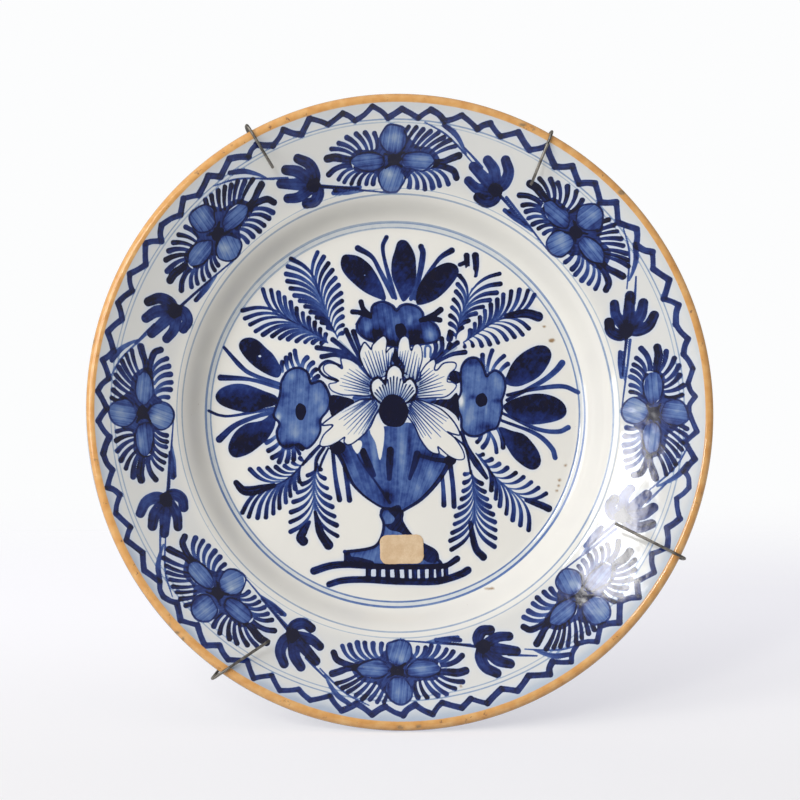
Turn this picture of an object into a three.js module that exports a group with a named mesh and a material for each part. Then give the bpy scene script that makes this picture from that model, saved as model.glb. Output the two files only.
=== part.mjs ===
// Tin-glazed earthenware dish with a sprung wire hanger behind it and a small paper label in its well.
// Millimetres. +Z is up, the painted front faces -Y and the dish's axis lies along Y.
// The origin is where a nail bears under the hanger's loop.
import * as THREE from 'three';

// Dish, measured from the lip's front plane backwards
const rimRadius = 128;
const outOfRound = 0.0055;
const lipThickness = 4.6;
const shoulderRadius = 91.5;
const shoulderDepth = 12.6;
const wellFlatRadius = 74;
const wellDepth = 25.5;
const wellCurve = 8.5;
const shoulderCurve = 8.5;
const wallThickness = 5.4;
const footRadius = 66;
const footWidth = 4.2;
const footHeight = 4.8;
const footEdge = 0.9;
const footFlare = 1.4;
const dishSegments = 80;

// Paper label, stuck on the flat of the well
const labelWidth = 18;
const labelHeight = 12;
const labelCorner = 3;
const labelThickness = 0.15;
const glueFilm = 0.1;
const labelX = 2.3;
const labelZ = -55.3;
const labelTurn = -1.5;

// Hanger wires
const wireDiameter = 1.2;
const touchGap = 0.3;
const clawBend = 2.3;
const footBend = 9;
const footBendOutside = 6;
const valleyBend = 3.4;
const loopBend = 8;
const wireSides = 8;
const upperClaws = [
  { angle: 118.3, overhang: 3.2, reach: 20, skew: 2 },
  { angle: 61.7, overhang: 1.6, reach: 24, skew: -5 },
];
const lowerClaws = [
  { angle: 234.9, overhang: 4.4, reach: 28.3, skew: -20 },
  { angle: 332.4, overhang: 2.4, reach: 32, skew: 1 },
];
const upperEyeSpread = 22;
const upperEyeHeight = 28;
const loopHeight = 88;
const lowerEyeSpread = 22;
const lowerEyeDrop = 30;
const lowerDip = 56;

// Springs between the two wires
const springWireDiameter = 0.9;
const springOuterRadius = 3.4;
const springCurls = 24;
const stepsPerCurl = 8;
const springSides = 5;
const hookArc = 200;
const hookNeck = 1.6;
const easeTurn = 0.75;
const easeRise = 2.4;

// Sizes that follow
const wireRadius = wireDiameter / 2;
const springWireRadius = springWireDiameter / 2;
const baseDepth = wellDepth + wallThickness;
const footCrest = baseDepth + footHeight;
const hangerPlane = footCrest + touchGap + wireRadius;
const nailHeight = loopHeight - wireRadius;
const hookRadius = wireRadius + touchGap + springWireRadius;
const lowerAim = (lowerClaws[0].angle + lowerClaws[1].angle) / 2;

const glaze = new THREE.MeshStandardMaterial({ color: 0xe6e3dc, roughness: 0.2, metalness: 0 });
const paper = new THREE.MeshStandardMaterial({ color: 0xd9bb92, roughness: 0.85, metalness: 0 });
const steel = new THREE.MeshStandardMaterial({ color: 0x55555a, roughness: 0.4, metalness: 0.9 });

const radians = THREE.MathUtils.degToRad;

// A spot given round the dish: angle from +X towards +Z, radius before the dish's slight oval, depth.
function onDish(angle, radius, depth) {
  const turn = radians(angle);
  return new THREE.Vector3(
    radius * Math.cos(turn) * (1 - outOfRound),
    depth,
    radius * Math.sin(turn) * (1 + outOfRound),
  );
}

// Section of the dish, from the middle of the well out over the rim and back behind to the axis.
function dishSection() {
  const lipRadius = lipThickness / 2;
  const lipCentre = new THREE.Vector2(rimRadius - lipRadius, lipRadius);
  const across = lipCentre.x - shoulderRadius;
  const down = shoulderDepth - lipCentre.y;
  const fall = Math.atan2(down, across) + Math.asin(lipRadius / Math.hypot(across, down));
  const easeR = shoulderCurve * Math.cos(fall);
  const easeD = shoulderCurve * Math.sin(fall);
  const behindShoulder = shoulderDepth + wallThickness / Math.cos(fall);
  const footOuter = footRadius + footWidth / 2;
  const footInner = footRadius - footWidth / 2;
  const footRoot = footOuter + footFlare;

  const section = new THREE.Path();
  section.moveTo(0, wellDepth);
  section.lineTo(wellFlatRadius, wellDepth);
  section.bezierCurveTo(
    wellFlatRadius + wellCurve, wellDepth,
    shoulderRadius - easeR, shoulderDepth + easeD,
    shoulderRadius, shoulderDepth,
  );
  section.absarc(lipCentre.x, lipCentre.y, lipRadius, -Math.PI / 2 - fall, Math.PI / 2 - fall, false);
  section.lineTo(shoulderRadius, behindShoulder);
  section.bezierCurveTo(
    shoulderRadius - easeR, behindShoulder + easeD,
    wellFlatRadius + wellCurve - wallThickness / 2, baseDepth,
    Math.max(wellFlatRadius - wallThickness / 2, footRoot + 0.5), baseDepth,
  );
  section.lineTo(footRoot, baseDepth);
  section.quadraticCurveTo(footOuter, baseDepth, footOuter, baseDepth + footFlare);
  section.lineTo(footOuter, footCrest - footEdge);
  section.quadraticCurveTo(footOuter, footCrest, footOuter - footEdge, footCrest);
  section.lineTo(footInner + footEdge, footCrest);
  section.quadraticCurveTo(footInner, footCrest, footInner, footCrest - footEdge);
  section.lineTo(footInner, baseDepth + footFlare);
  section.quadraticCurveTo(footInner, baseDepth, footInner - footFlare, baseDepth);
  section.lineTo(0, baseDepth);
  return section;
}

// Points of the section, fine on its long curves and coarse on the foot's small edges.
function sectionPoints(section) {
  const points = [];
  for (const curve of section.curves) {
    const steps = stepsFor(curve);
    for (const point of curve.getPoints(steps)) {
      const last = points[points.length - 1];
      if (!last || last.distanceTo(point) > 0.01) points.push(point);
    }
  }
  return points;
}

function stepsFor(curve) {
  if (curve.isLineCurve) return 1;
  if (curve.isCubicBezierCurve) return 9;
  if (curve.isEllipseCurve) return 8;
  return 2;
}

function dish() {
  const shape = new THREE.LatheGeometry(sectionPoints(dishSection()), dishSegments);
  shape.scale(1 - outOfRound, 1, 1 + outOfRound);
  return shape;
}

function label() {
  const w = labelWidth / 2;
  const h = labelHeight / 2;
  const outline = new THREE.Shape();
  outline.moveTo(-w + labelCorner, -h);
  outline.absarc(w - labelCorner, -h + labelCorner, labelCorner, -Math.PI / 2, 0, false);
  outline.absarc(w - labelCorner, h - labelCorner, labelCorner, 0, Math.PI / 2, false);
  outline.absarc(-w + labelCorner, h - labelCorner, labelCorner, Math.PI / 2, Math.PI, false);
  outline.absarc(-w + labelCorner, -h + labelCorner, labelCorner, Math.PI, Math.PI * 1.5, false);
  const sheet = new THREE.ExtrudeGeometry(outline, {
    depth: labelThickness, bevelEnabled: false, curveSegments: 5,
  });
  sheet.rotateZ(radians(labelTurn));
  sheet.rotateX(Math.PI / 2);
  sheet.translate(labelX, wellDepth - glueFilm, labelZ);
  return sheet;
}

// Points along straight runs joined by round bends. Each corner is { at, bend }.
function bentRoute(corners, stepsPerBend) {
  const route = [corners[0].at.clone()];
  for (let i = 1; i < corners.length - 1; i += 1) {
    const here = corners[i].at;
    const back = corners[i - 1].at.clone().sub(here).normalize();
    const ahead = corners[i + 1].at.clone().sub(here).normalize();
    const half = back.angleTo(ahead) / 2;
    const tangent = corners[i].bend / Math.tan(half);
    const centre = back.clone().add(ahead).normalize().multiplyScalar(corners[i].bend / Math.sin(half));
    const from = back.multiplyScalar(tangent).sub(centre);
    const to = ahead.multiplyScalar(tangent).sub(centre);
    const sweep = from.angleTo(to);
    const pivot = from.clone().cross(to).normalize();
    const steps = Math.max(2, Math.ceil((stepsPerBend * sweep) / Math.PI));
    for (let s = 0; s <= steps; s += 1) {
      route.push(from.clone().applyAxisAngle(pivot, (sweep * s) / steps).add(centre).add(here));
    }
  }
  route.push(corners[corners.length - 1].at.clone());
  return route;
}

// Middle of the round bend at a corner, where a spring's hook seats.
function bendMiddle(before, corner, after, bend) {
  const back = before.clone().sub(corner).normalize();
  const ahead = after.clone().sub(corner).normalize();
  const half = back.angleTo(ahead) / 2;
  const inward = back.add(ahead).normalize();
  return corner.clone().addScaledVector(inward, bend / Math.sin(half) - bend);
}

// A closed round tube along a route, its rings carried along without twist.
function tube(route, radius, sides) {
  const directions = route.map((point, i) => {
    const before = route[Math.max(i - 1, 0)];
    const after = route[Math.min(i + 1, route.length - 1)];
    const incoming = point.clone().sub(before).normalize();
    const outgoing = after.clone().sub(point).normalize();
    return incoming.add(outgoing).normalize();
  });
  const aside = Math.abs(directions[0].y) < 0.9 ? new THREE.Vector3(0, 1, 0) : new THREE.Vector3(1, 0, 0);
  let normal = aside.sub(directions[0].clone().multiplyScalar(aside.dot(directions[0]))).normalize();
  const positions = [];
  route.forEach((point, i) => {
    if (i > 0) {
      const turn = new THREE.Quaternion().setFromUnitVectors(directions[i - 1], directions[i]);
      normal = normal.clone().applyQuaternion(turn);
    }
    const binormal = directions[i].clone().cross(normal);
    for (let k = 0; k < sides; k += 1) {
      const a = (2 * Math.PI * k) / sides;
      const spot = point.clone()
        .addScaledVector(normal, radius * Math.cos(a))
        .addScaledVector(binormal, radius * Math.sin(a));
      positions.push(...spot.toArray());
    }
  });
  const start = route.length * sides;
  positions.push(...route[0].toArray(), ...route[route.length - 1].toArray());
  const faces = [];
  for (let i = 0; i < route.length - 1; i += 1) {
    for (let k = 0; k < sides; k += 1) {
      const a = i * sides + k;
      const b = i * sides + ((k + 1) % sides);
      faces.push(a, b, a + sides, b, b + sides, a + sides);
    }
  }
  const lastRing = (route.length - 1) * sides;
  for (let k = 0; k < sides; k += 1) {
    const next = (k + 1) % sides;
    faces.push(start, next, k);
    faces.push(start + 1, lastRing + k, lastRing + next);
  }
  const shape = new THREE.BufferGeometry();
  shape.setAttribute('position', new THREE.Float32BufferAttribute(positions, 3));
  shape.setIndex(faces);
  shape.computeVertexNormals();
  return shape;
}

// Corners of one claw, from its tip in front of the rim round the lip to where its leg meets the foot.
function clawCorners(claw, eye) {
  const outside = rimRadius + claw.overhang - wireRadius;
  const frontDepth = -touchGap - wireRadius;
  const backDepth = lipThickness + touchGap + wireRadius;
  const front = onDish(claw.angle, outside, frontDepth);
  const back = onDish(claw.angle, outside, backDepth);
  const inward = radians(claw.angle + 180 + claw.skew);
  const tip = front.clone().add(
    new THREE.Vector3(Math.cos(inward), 0, Math.sin(inward)).multiplyScalar(claw.reach),
  );
  const overFoot = footCrossing(eye, back);
  return [
    { at: tip },
    { at: front, bend: clawBend },
    { at: back, bend: clawBend },
    { at: overFoot, bend: footBend },
  ];
}

// Where a leg on its way from an eye to the rim has just passed over the foot ring.
function footCrossing(eye, rimSpot) {
  const ringOutside = footRadius + footWidth / 2 + footBendOutside;
  const run = new THREE.Vector2(rimSpot.x - eye.x, rimSpot.z - eye.z);
  const a = run.lengthSq();
  const b = 2 * (run.x * eye.x + run.y * eye.z);
  const c = eye.x * eye.x + eye.z * eye.z - ringOutside * ringOutside;
  const share = (-b + Math.sqrt(b * b - 4 * a * c)) / (2 * a);
  return new THREE.Vector3(eye.x + run.x * share, hangerPlane, eye.z + run.y * share);
}

// One hanger wire: claw, eye, middle bend, eye, claw.
function hangerWire(claws, eyes, middle, middleBend) {
  const first = clawCorners(claws[0], eyes[0]);
  const last = clawCorners(claws[1], eyes[1]).reverse();
  const corners = [
    ...first,
    { at: eyes[0], bend: valleyBend },
    { at: middle, bend: middleBend },
    { at: eyes[1], bend: valleyBend },
    ...last,
  ];
  const seats = [
    bendMiddle(first[first.length - 1].at, eyes[0], middle, valleyBend),
    bendMiddle(last[0].at, eyes[1], middle, valleyBend),
  ];
  return { shape: tube(bentRoute(corners, 14), wireRadius, wireSides), seats };
}

function upperWire() {
  const eyes = [-1, 1].map(
    (side) => new THREE.Vector3(side * upperEyeSpread, hangerPlane, upperEyeHeight),
  );
  const corner = loopCorner(eyes[0]);
  return hangerWire(upperClaws, eyes, corner, loopBend);
}

// The loop's sharp corner, set so that its round bend tops out at the loop's height.
function loopCorner(eye) {
  let height = loopHeight;
  for (let i = 0; i < 20; i += 1) {
    const half = Math.atan2(Math.abs(eye.x), height - eye.z);
    height = loopHeight + loopBend / Math.sin(half) - loopBend;
  }
  return new THREE.Vector3(0, hangerPlane, height);
}

function lowerWire() {
  const aim = radians(lowerAim);
  const down = new THREE.Vector3(Math.cos(aim), 0, Math.sin(aim));
  const side = new THREE.Vector3(-Math.sin(aim), 0, Math.cos(aim));
  const plane = new THREE.Vector3(0, hangerPlane, 0);
  const eyes = [-1, 1].map((way) => plane.clone()
    .addScaledVector(down, lowerEyeDrop)
    .addScaledVector(side, way * lowerEyeSpread));
  const dip = plane.clone().addScaledVector(down, lowerDip);
  return hangerWire(lowerClaws, eyes, dip, loopBend);
}

// A spring's end: a short straight tail, the hook round its seat and the neck towards the curls.
// Local frame: x sideways, y along the spring from the seat, z backwards, the seat's wire at 0, 0.
function hookPoints() {
  const sweep = radians(hookArc);
  const steps = 8;
  const points = [];
  for (let s = steps; s >= 0; s -= 1) {
    const a = (sweep * s) / steps;
    points.push(new THREE.Vector3(0, -hookRadius * Math.sin(a), hookRadius * Math.cos(a)));
  }
  const leaving = new THREE.Vector3(0, -Math.cos(sweep), -Math.sin(sweep));
  points.unshift(points[0].clone().addScaledVector(leaving, springWireDiameter));
  points.push(new THREE.Vector3(0, hookNeck, hookRadius));
  return points;
}

// One unbroken route for a spring of this length between the two seats.
function springRoute(length) {
  const start = hookPoints();
  const coilRadius = springOuterRadius - springWireRadius;
  const coilRun = length - 2 * (hookNeck + easeRise);
  const turns = springCurls + 2 * easeTurn;
  const steps = Math.round(turns * stepsPerCurl);
  const points = [];
  for (let s = 1; s < steps; s += 1) {
    const turned = (s / steps) * turns;
    const fromEnd = Math.min(turned, turns - turned);
    const open = THREE.MathUtils.smoothstep(fromEnd, 0, easeTurn);
    const a = 2 * Math.PI * turned;
    points.push(new THREE.Vector3(
      coilRadius * open * Math.cos(a),
      hookNeck + climb(turned, turns, coilRun),
      hookRadius + coilRadius * open * Math.sin(a),
    ));
  }
  const end = hookPoints().reverse().map((p) => new THREE.Vector3(p.x, length - p.y, p.z));
  return [...start, ...points, ...end];
}

// Height along the spring after so many turns: quick in the two eased ends, even in the curls.
function climb(turned, turns, coilRun) {
  if (turned < easeTurn) return (easeRise * turned) / easeTurn;
  const curlsDone = turned - easeTurn;
  if (curlsDone <= springCurls) return easeRise + (coilRun * curlsDone) / springCurls;
  return easeRise + coilRun + (easeRise * (curlsDone - springCurls)) / easeTurn;
}

// Least clear distance between stretches of one route that lie more than half a curl apart.
function leastSelfGap(route, diameter) {
  const apart = Math.round(stepsPerCurl / 2);
  let least = Infinity;
  for (let i = 0; i < route.length; i += 1) {
    for (let j = i + apart; j < route.length; j += 1) {
      least = Math.min(least, route[i].distanceTo(route[j]) - diameter);
    }
  }
  return least;
}

function spring(name, lowSeat, highSeat) {
  const along = highSeat.clone().sub(lowSeat);
  const route = springRoute(along.length());
  console.log(`${name}: least gap to itself ${leastSelfGap(route, springWireDiameter).toFixed(2)} mm`);
  const mesh = new THREE.Mesh(tube(route, springWireRadius, springSides), steel.clone());
  mesh.name = name;
  mesh.position.copy(lowSeat);
  const yAxis = along.normalize();
  const zAxis = new THREE.Vector3(0, 1, 0);
  const xAxis = yAxis.clone().cross(zAxis);
  mesh.quaternion.setFromRotationMatrix(new THREE.Matrix4().makeBasis(xAxis, yAxis, zAxis));
  return mesh;
}

function named(name, shape, material) {
  const mesh = new THREE.Mesh(shape, material);
  mesh.name = name;
  return mesh;
}

const upper = upperWire();
const lower = lowerWire();
const assembly = new THREE.Group();
assembly.add(
  named('faience_dish', dish(), glaze),
  named('paper_label', label(), paper),
  named('upper_hook_wire', upper.shape, steel.clone()),
  named('lower_hook_wire', lower.shape, steel.clone()),
  spring('left_spring', lower.seats[0], upper.seats[0]),
  spring('right_spring', lower.seats[1], upper.seats[1]),
);
assembly.position.set(0, -hangerPlane, -nailHeight);

const part = new THREE.Group();
part.add(assembly);
export default part;
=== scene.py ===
"""A painted tin-glazed dish on a wire hanger, upright over a pale studio floor."""

import math

import bpy
import numpy as np
from mathutils import Matrix, Vector

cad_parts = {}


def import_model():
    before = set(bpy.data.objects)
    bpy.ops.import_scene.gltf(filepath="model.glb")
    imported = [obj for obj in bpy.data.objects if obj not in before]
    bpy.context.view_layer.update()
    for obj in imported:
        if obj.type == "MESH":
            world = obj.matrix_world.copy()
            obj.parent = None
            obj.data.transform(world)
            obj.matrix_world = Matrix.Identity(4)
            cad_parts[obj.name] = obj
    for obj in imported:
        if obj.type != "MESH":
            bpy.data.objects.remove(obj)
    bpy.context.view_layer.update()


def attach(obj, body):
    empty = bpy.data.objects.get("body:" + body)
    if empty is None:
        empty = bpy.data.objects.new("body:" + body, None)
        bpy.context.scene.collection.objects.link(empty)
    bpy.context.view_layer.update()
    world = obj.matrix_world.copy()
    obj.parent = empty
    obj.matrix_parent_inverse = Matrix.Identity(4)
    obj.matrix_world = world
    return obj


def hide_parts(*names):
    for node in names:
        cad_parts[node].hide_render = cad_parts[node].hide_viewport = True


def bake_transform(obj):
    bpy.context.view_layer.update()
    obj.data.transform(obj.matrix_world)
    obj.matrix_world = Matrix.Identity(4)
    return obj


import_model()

MM = 0.001

# Dish, in mm, the same sizes as its solid, which only lacks the hollow of the rim's slope. Depth
# is measured from the lip's front plane backwards.
RIM_RADIUS = 128
OUT_OF_ROUND = 0.0055
LIP_THICKNESS = 4.6
SHOULDER_RADIUS = 91.5
SHOULDER_DEPTH = 12.6
WELL_FLAT_RADIUS = 74
WELL_DEPTH = 25.5
WELL_CURVE = 8.5
SHOULDER_CURVE = 8.5
RIM_HOLLOW = 0.6
WALL = 5.4
FOOT_RADIUS = 66
FOOT_WIDTH = 4.2
FOOT_HEIGHT = 4.8
FOOT_EDGE = 0.9
FOOT_FLARE = 1.4

# Paper label. Its edge is worn by up to so much, and sinks by this share of its thickness.
LABEL_WIDTH = 18
LABEL_HEIGHT = 12
LABEL_CORNER = 3
LABEL_THICKNESS = 0.15
GLUE_FILM = 0.1
LABEL_X = 2.3
LABEL_Z = -55.3
LABEL_TURN = -1.5
LABEL_WEAR = 0.14
LABEL_SINK = 0.35

# Hanger wires. The dome of a wire's end is a share of its radius.
WIRE_DIAMETER = 1.2
TOUCH_GAP = 0.3
CLAW_BEND = 2.3
FOOT_BEND = 9
FOOT_BEND_OUTSIDE = 6
VALLEY_BEND = 3.4
LOOP_BEND = 8
END_DOME = 0.4

# The claws as the picture shows them, up to 3 mm off those of the plainer solids
UPPER_CLAWS = (
    {"angle": 119.2, "overhang": 3.2, "reach": 20.3, "skew": 2},
    {"angle": 61.6, "overhang": 1.6, "reach": 24, "skew": 6.5},
)
LOWER_CLAWS = (
    {"angle": 234.4, "overhang": 4.4, "reach": 27.2, "skew": -20.5},
    {"angle": 332.9, "overhang": 2.4, "reach": 32, "skew": 1},
)
UPPER_EYE_SPREAD = 22
UPPER_EYE_HEIGHT = 28
LOOP_HEIGHT = 88
LOWER_EYE_SPREAD = 22
LOWER_EYE_DROP = 30
LOWER_DIP = 56

# Springs
SPRING_WIRE = 0.9
SPRING_OUTER_RADIUS = 3.4
SPRING_CURLS = 24
HOOK_ARC = 200
HOOK_NECK = 1.6
EASE_TURN = 0.75
EASE_RISE = 2.4

# Sizes that follow
ROUND_X = 1 - OUT_OF_ROUND
ROUND_Z = 1 + OUT_OF_ROUND
BASE_DEPTH = WELL_DEPTH + WALL
FOOT_CREST = BASE_DEPTH + FOOT_HEIGHT
WIRE_RADIUS = WIRE_DIAMETER / 2
HANGER_PLANE = FOOT_CREST + TOUCH_GAP + WIRE_RADIUS
NAIL_HEIGHT = LOOP_HEIGHT - WIRE_RADIUS

# How finely the shapes are drawn. The dish's front is a net of rings whose points grow by one
# sector's worth a ring, and its back has one point for each BACK_SHARE of the lip's.
RINGS = 360
SECTORS = 8
LIP_STEPS = 12
BACK_SHARE = 8
WIRE_SIDES = 14
BEND_STEPS = 28
SPRING_SIDES = 10
HOOK_STEPS = 14
CURL_STEPS = 18
LABEL_POINTS = 96

# How near to each other in mm two points of a wire's route count as one
SAME_SPOT = 1e-4

# The brush painting is worked out on a square sheet of cells over the dish's front, in mm, and a
# curve in it has CURVE_STEPS steps from point to point. SOFT is how wide a mark's edge fades, HALO
# how far the blue bleeds into the glaze round it, and WASH_BLEED a wash's share in that.
CELL = 0.14
REACH = 129
SOFT = 0.5
HALO = 2.6
WASH_BLEED = 0.7
SIDE = int(2 * REACH / CELL) + 1
CURVE_STEPS = 6

# What brings a sum of random lumps, and one of random waves, out to about -1 and 1
CLOUD_REACH = 1.4
WAVE_REACH = 2.5

# Brush habits: the most points of a shape that shakes only at its ends, how many of its radii a
# soft touch reaches, how wide a wash darkens towards its edge in mm, and a leaf's loss of pigment
STROKE_POINTS = 6
TOUCH_REACH = 2.4
DARK_EDGE = 1.1
THINNING = 0.16
SEEDS = 1 << 30

# The ochre edge: the radius where it starts, how far round the lip it ends, and how far from the
# rim's outline it may be chipped
OCHRE_START = 124.4
OCHRE_BEHIND = 4.2
CHIP_REACH = 2.2

# The foot ring's crest: how high the glaze is wiped off it, and over what height it thins out
FOOT_WIPED = 0.7
FOOT_FADE = 0.5

dice = np.random.default_rng(7)


def world(x, depth, z):
    """A spot of the dish in mm as metres in the frame."""
    return Vector((x * MM, (depth - HANGER_PLANE) * MM, (z - NAIL_HEIGHT) * MM))


# The dish's middle, in the lip's front plane
CENTRE = world(0, 0, 0)


# Shape of the dish's section


def bezier(a, b, c, d, steps):
    t = np.linspace(0, 1, steps)[:, None]
    a, b, c, d = (np.array(p, float) for p in (a, b, c, d))
    return a * (1 - t) ** 3 + 3 * b * t * (1 - t) ** 2 + 3 * c * t**2 * (1 - t) + d * t**3


def polar(radius, angle):
    return np.stack((radius * np.cos(angle), radius * np.sin(angle)), -1)


def arc(centre, radius, start, end, steps):
    return np.array(centre) + polar(radius, np.linspace(start, end, steps))


LIP_RADIUS = LIP_THICKNESS / 2
LIP_CENTRE = (RIM_RADIUS - LIP_RADIUS, LIP_RADIUS)
ACROSS = LIP_CENTRE[0] - SHOULDER_RADIUS
DOWN = SHOULDER_DEPTH - LIP_CENTRE[1]
FALL = math.atan2(DOWN, ACROSS) + math.asin(LIP_RADIUS / math.hypot(ACROSS, DOWN))
EASE = (SHOULDER_CURVE * math.cos(FALL), SHOULDER_CURVE * math.sin(FALL))
FOOT_OUTER = FOOT_RADIUS + FOOT_WIDTH / 2
FOOT_INNER = FOOT_RADIUS - FOOT_WIDTH / 2
FOOT_ROOT = FOOT_OUTER + FOOT_FLARE


def front_section():
    """Radius and depth from the middle of the well out to where the lip starts to turn over."""
    wall = bezier(
        (WELL_FLAT_RADIUS, WELL_DEPTH),
        (WELL_FLAT_RADIUS + WELL_CURVE, WELL_DEPTH),
        (SHOULDER_RADIUS - EASE[0], SHOULDER_DEPTH + EASE[1]),
        (SHOULDER_RADIUS, SHOULDER_DEPTH),
        steps=40,
    )
    start = arc(LIP_CENTRE, LIP_RADIUS, -math.pi / 2 - FALL, 0, steps=2)[0]
    share = np.linspace(0, 1, num=16)[1:, None]
    rim = wall[-1] + (start - wall[-1]) * share
    rim[:, 1:] += RIM_HOLLOW * 4 * share * (1 - share)
    return np.concatenate(([(0, WELL_DEPTH)], wall, rim))


def back_section():
    """Radius and depth from the lip's back round the foot ring to the axis."""
    behind = SHOULDER_DEPTH + WALL / math.cos(FALL)
    wall = bezier(
        (SHOULDER_RADIUS, behind),
        (SHOULDER_RADIUS - EASE[0], behind + EASE[1]),
        (WELL_FLAT_RADIUS + WELL_CURVE - WALL / 2, BASE_DEPTH),
        (WELL_FLAT_RADIUS - WALL / 2, BASE_DEPTH),
        steps=16,
    )
    crest = FOOT_CREST - FOOT_EDGE
    centres = (
        ((FOOT_ROOT, BASE_DEPTH + FOOT_FLARE), FOOT_FLARE, -90, -180),
        ((FOOT_OUTER - FOOT_EDGE, crest), FOOT_EDGE, 0, 90),
        ((FOOT_INNER + FOOT_EDGE, crest), FOOT_EDGE, 90, 180),
        ((FOOT_INNER - FOOT_FLARE, BASE_DEPTH + FOOT_FLARE), FOOT_FLARE, 0, -90),
    )
    foot = [arc(c, r, math.radians(a), math.radians(b), steps=6) for c, r, a, b in centres]
    rim = np.linspace((LIP_CENTRE[0], LIP_THICKNESS), (SHOULDER_RADIUS, behind), num=12)[1:-1]
    floor = np.linspace((FOOT_INNER - FOOT_FLARE, BASE_DEPTH), (0, BASE_DEPTH), num=14)[1:]
    return np.concatenate((rim, wall, *foot, floor))


# Brush painting


def smoothstep(t):
    t = np.clip(t, 0, 1)
    return t * t * (3 - 2 * t)


def cloud(size, seed):
    """A smooth random field, mostly from -1 to 1, over the sheet, its lumps so many mm wide."""
    source = np.random.default_rng(seed)
    field = np.zeros((SIDE, SIDE), np.float32)
    shares = (1, 0.5)
    for share in shares:
        step = size * share / CELL
        n = int(SIDE / step) + 3
        grid = source.uniform(-1, 1, (n, n)).astype(np.float32)
        place = np.arange(SIDE) / step
        cell = place.astype(int)
        part = smoothstep(place - cell).astype(np.float32)
        rows = grid[cell] * (1 - part[:, None]) + grid[cell + 1] * part[:, None]
        field += (rows[:, cell] * (1 - part) + rows[:, cell + 1] * part) * share
    return field / sum(shares) * CLOUD_REACH


def covered(outside):
    """From 1 inside a mark to 0 outside it, across its soft edge."""
    return np.clip(0.5 - outside / SOFT, 0, 1).astype(np.float32)


class Layer:
    """One pass of pigment: how far inside a mark each cell is, and how much pigment lies there."""

    def __init__(self):
        self.edge = np.zeros((SIDE, SIDE), np.float32)
        self.tone = np.zeros((SIDE, SIDE), np.float32)

    def put(self, where, outside, tone, build=0.0):
        """Lays a mark from its distance field in mm. build is the share added where marks overlap."""
        edge = covered(outside)
        old_edge = self.edge[where]
        old_tone = self.tone[where]
        both = (edge > 0.5) & (old_edge > 0.5)
        stacked = np.maximum(old_tone, tone) + build * np.minimum(old_tone, tone)
        newer = np.where(edge > old_edge, tone, old_tone)
        self.tone[where] = np.where(both, stacked, newer)
        self.edge[where] = np.maximum(edge, old_edge)

    def scrape(self, where, outside, share=1.0):
        """Takes pigment away inside a distance field."""
        self.edge[where] = np.minimum(self.edge[where], 1 - covered(outside) * share)


line = Layer()
wash = Layer()
bare = Layer()


def window(points, margin):
    """The part of the sheet round some points, and the x and z of its cells."""
    low = np.floor((points.min(0) - margin + REACH) / CELL).astype(int).clip(0, SIDE - 2)
    high = np.ceil((points.max(0) + margin + REACH) / CELL).astype(int).clip(1, SIDE)
    high = np.maximum(high, low + 1)
    xs = np.arange(low[0], high[0], dtype=np.float32) * CELL - REACH
    zs = np.arange(low[1], high[1], dtype=np.float32) * CELL - REACH
    x, z = np.meshgrid(xs, zs)
    return (slice(low[1], high[1]), slice(low[0], high[0])), x, z


def spot(x, z, rx, rz):
    """The window round a small oval and its distance field."""
    where, gx, gz = window(np.array(((x - rx, z - rz), (x + rx, z + rz))), SOFT)
    reach = np.hypot((gx - x) / rx, (gz - z) / rz)
    return where, ((reach - 1) * min(rx, rz)).astype(np.float32)


def smooth(points, closed=False):
    """A curve through the points."""
    p = np.array(points, float)
    if len(p) < 3:
        return p
    if closed:
        p = np.concatenate((p[-1:], p, p[:2]))
    else:
        p = np.concatenate((2 * p[:1] - p[1:2], p, 2 * p[-1:] - p[-2:-1]))
    t = np.arange(CURVE_STEPS)[:, None] / CURVE_STEPS
    spans = []
    for a, b, c, d in zip(p[:-3], p[1:-2], p[2:-1], p[3:]):
        bend = (2 * a - 5 * b + 4 * c - d) * t**2 + (3 * b - a - 3 * c + d) * t**3
        spans.append(b + 0.5 * ((c - a) * t + bend))
    if not closed:
        spans.append(p[-2:-1])
    return np.concatenate(spans)


def follow(route, x, z):
    """Distance to a route, the share of the way along it, and the signed distance off its side."""
    steps = np.diff(route, axis=0)
    lengths = np.maximum(np.hypot(steps[:, 0], steps[:, 1]), 1e-6)
    run = np.concatenate(([0], np.cumsum(lengths))) / lengths.sum()
    best = np.full(x.shape, 1e9, np.float32)
    share = np.zeros(x.shape, np.float32)
    side = np.zeros(x.shape, np.float32)
    for i, (a, step, length) in enumerate(zip(route[:-1], steps, lengths)):
        px = x - a[0]
        pz = z - a[1]
        h = np.clip((px * step[0] + pz * step[1]) / length**2, 0, 1)
        off = np.hypot(px - h * step[0], pz - h * step[1])
        closer = off < best
        best = np.where(closer, off, best)
        share = np.where(closer, run[i] + h * (run[i + 1] - run[i]), share)
        side = np.where(closer, (step[0] * pz - step[1] * px) / length, side)
    return best, share, side


def within(route, x, z):
    """Distance to a closed route, and whether each cell is inside it."""
    ends = np.roll(route, -1, axis=0)
    best = np.full(x.shape, 1e9, np.float32)
    inside = np.zeros(x.shape, bool)
    for a, b in zip(route, ends):
        step = b - a
        length = max(step @ step, 1e-9)
        h = np.clip(((x - a[0]) * step[0] + (z - a[1]) * step[1]) / length, 0, 1)
        best = np.minimum(best, np.hypot(x - a[0] - h * step[0], z - a[1] - h * step[1]))
        if a[1] != b[1]:
            crossing = a[0] + (z - a[1]) * step[0] / (b[1] - a[1])
            inside ^= ((a[1] > z) != (b[1] > z)) & (x < crossing)
    return best, inside


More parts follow.
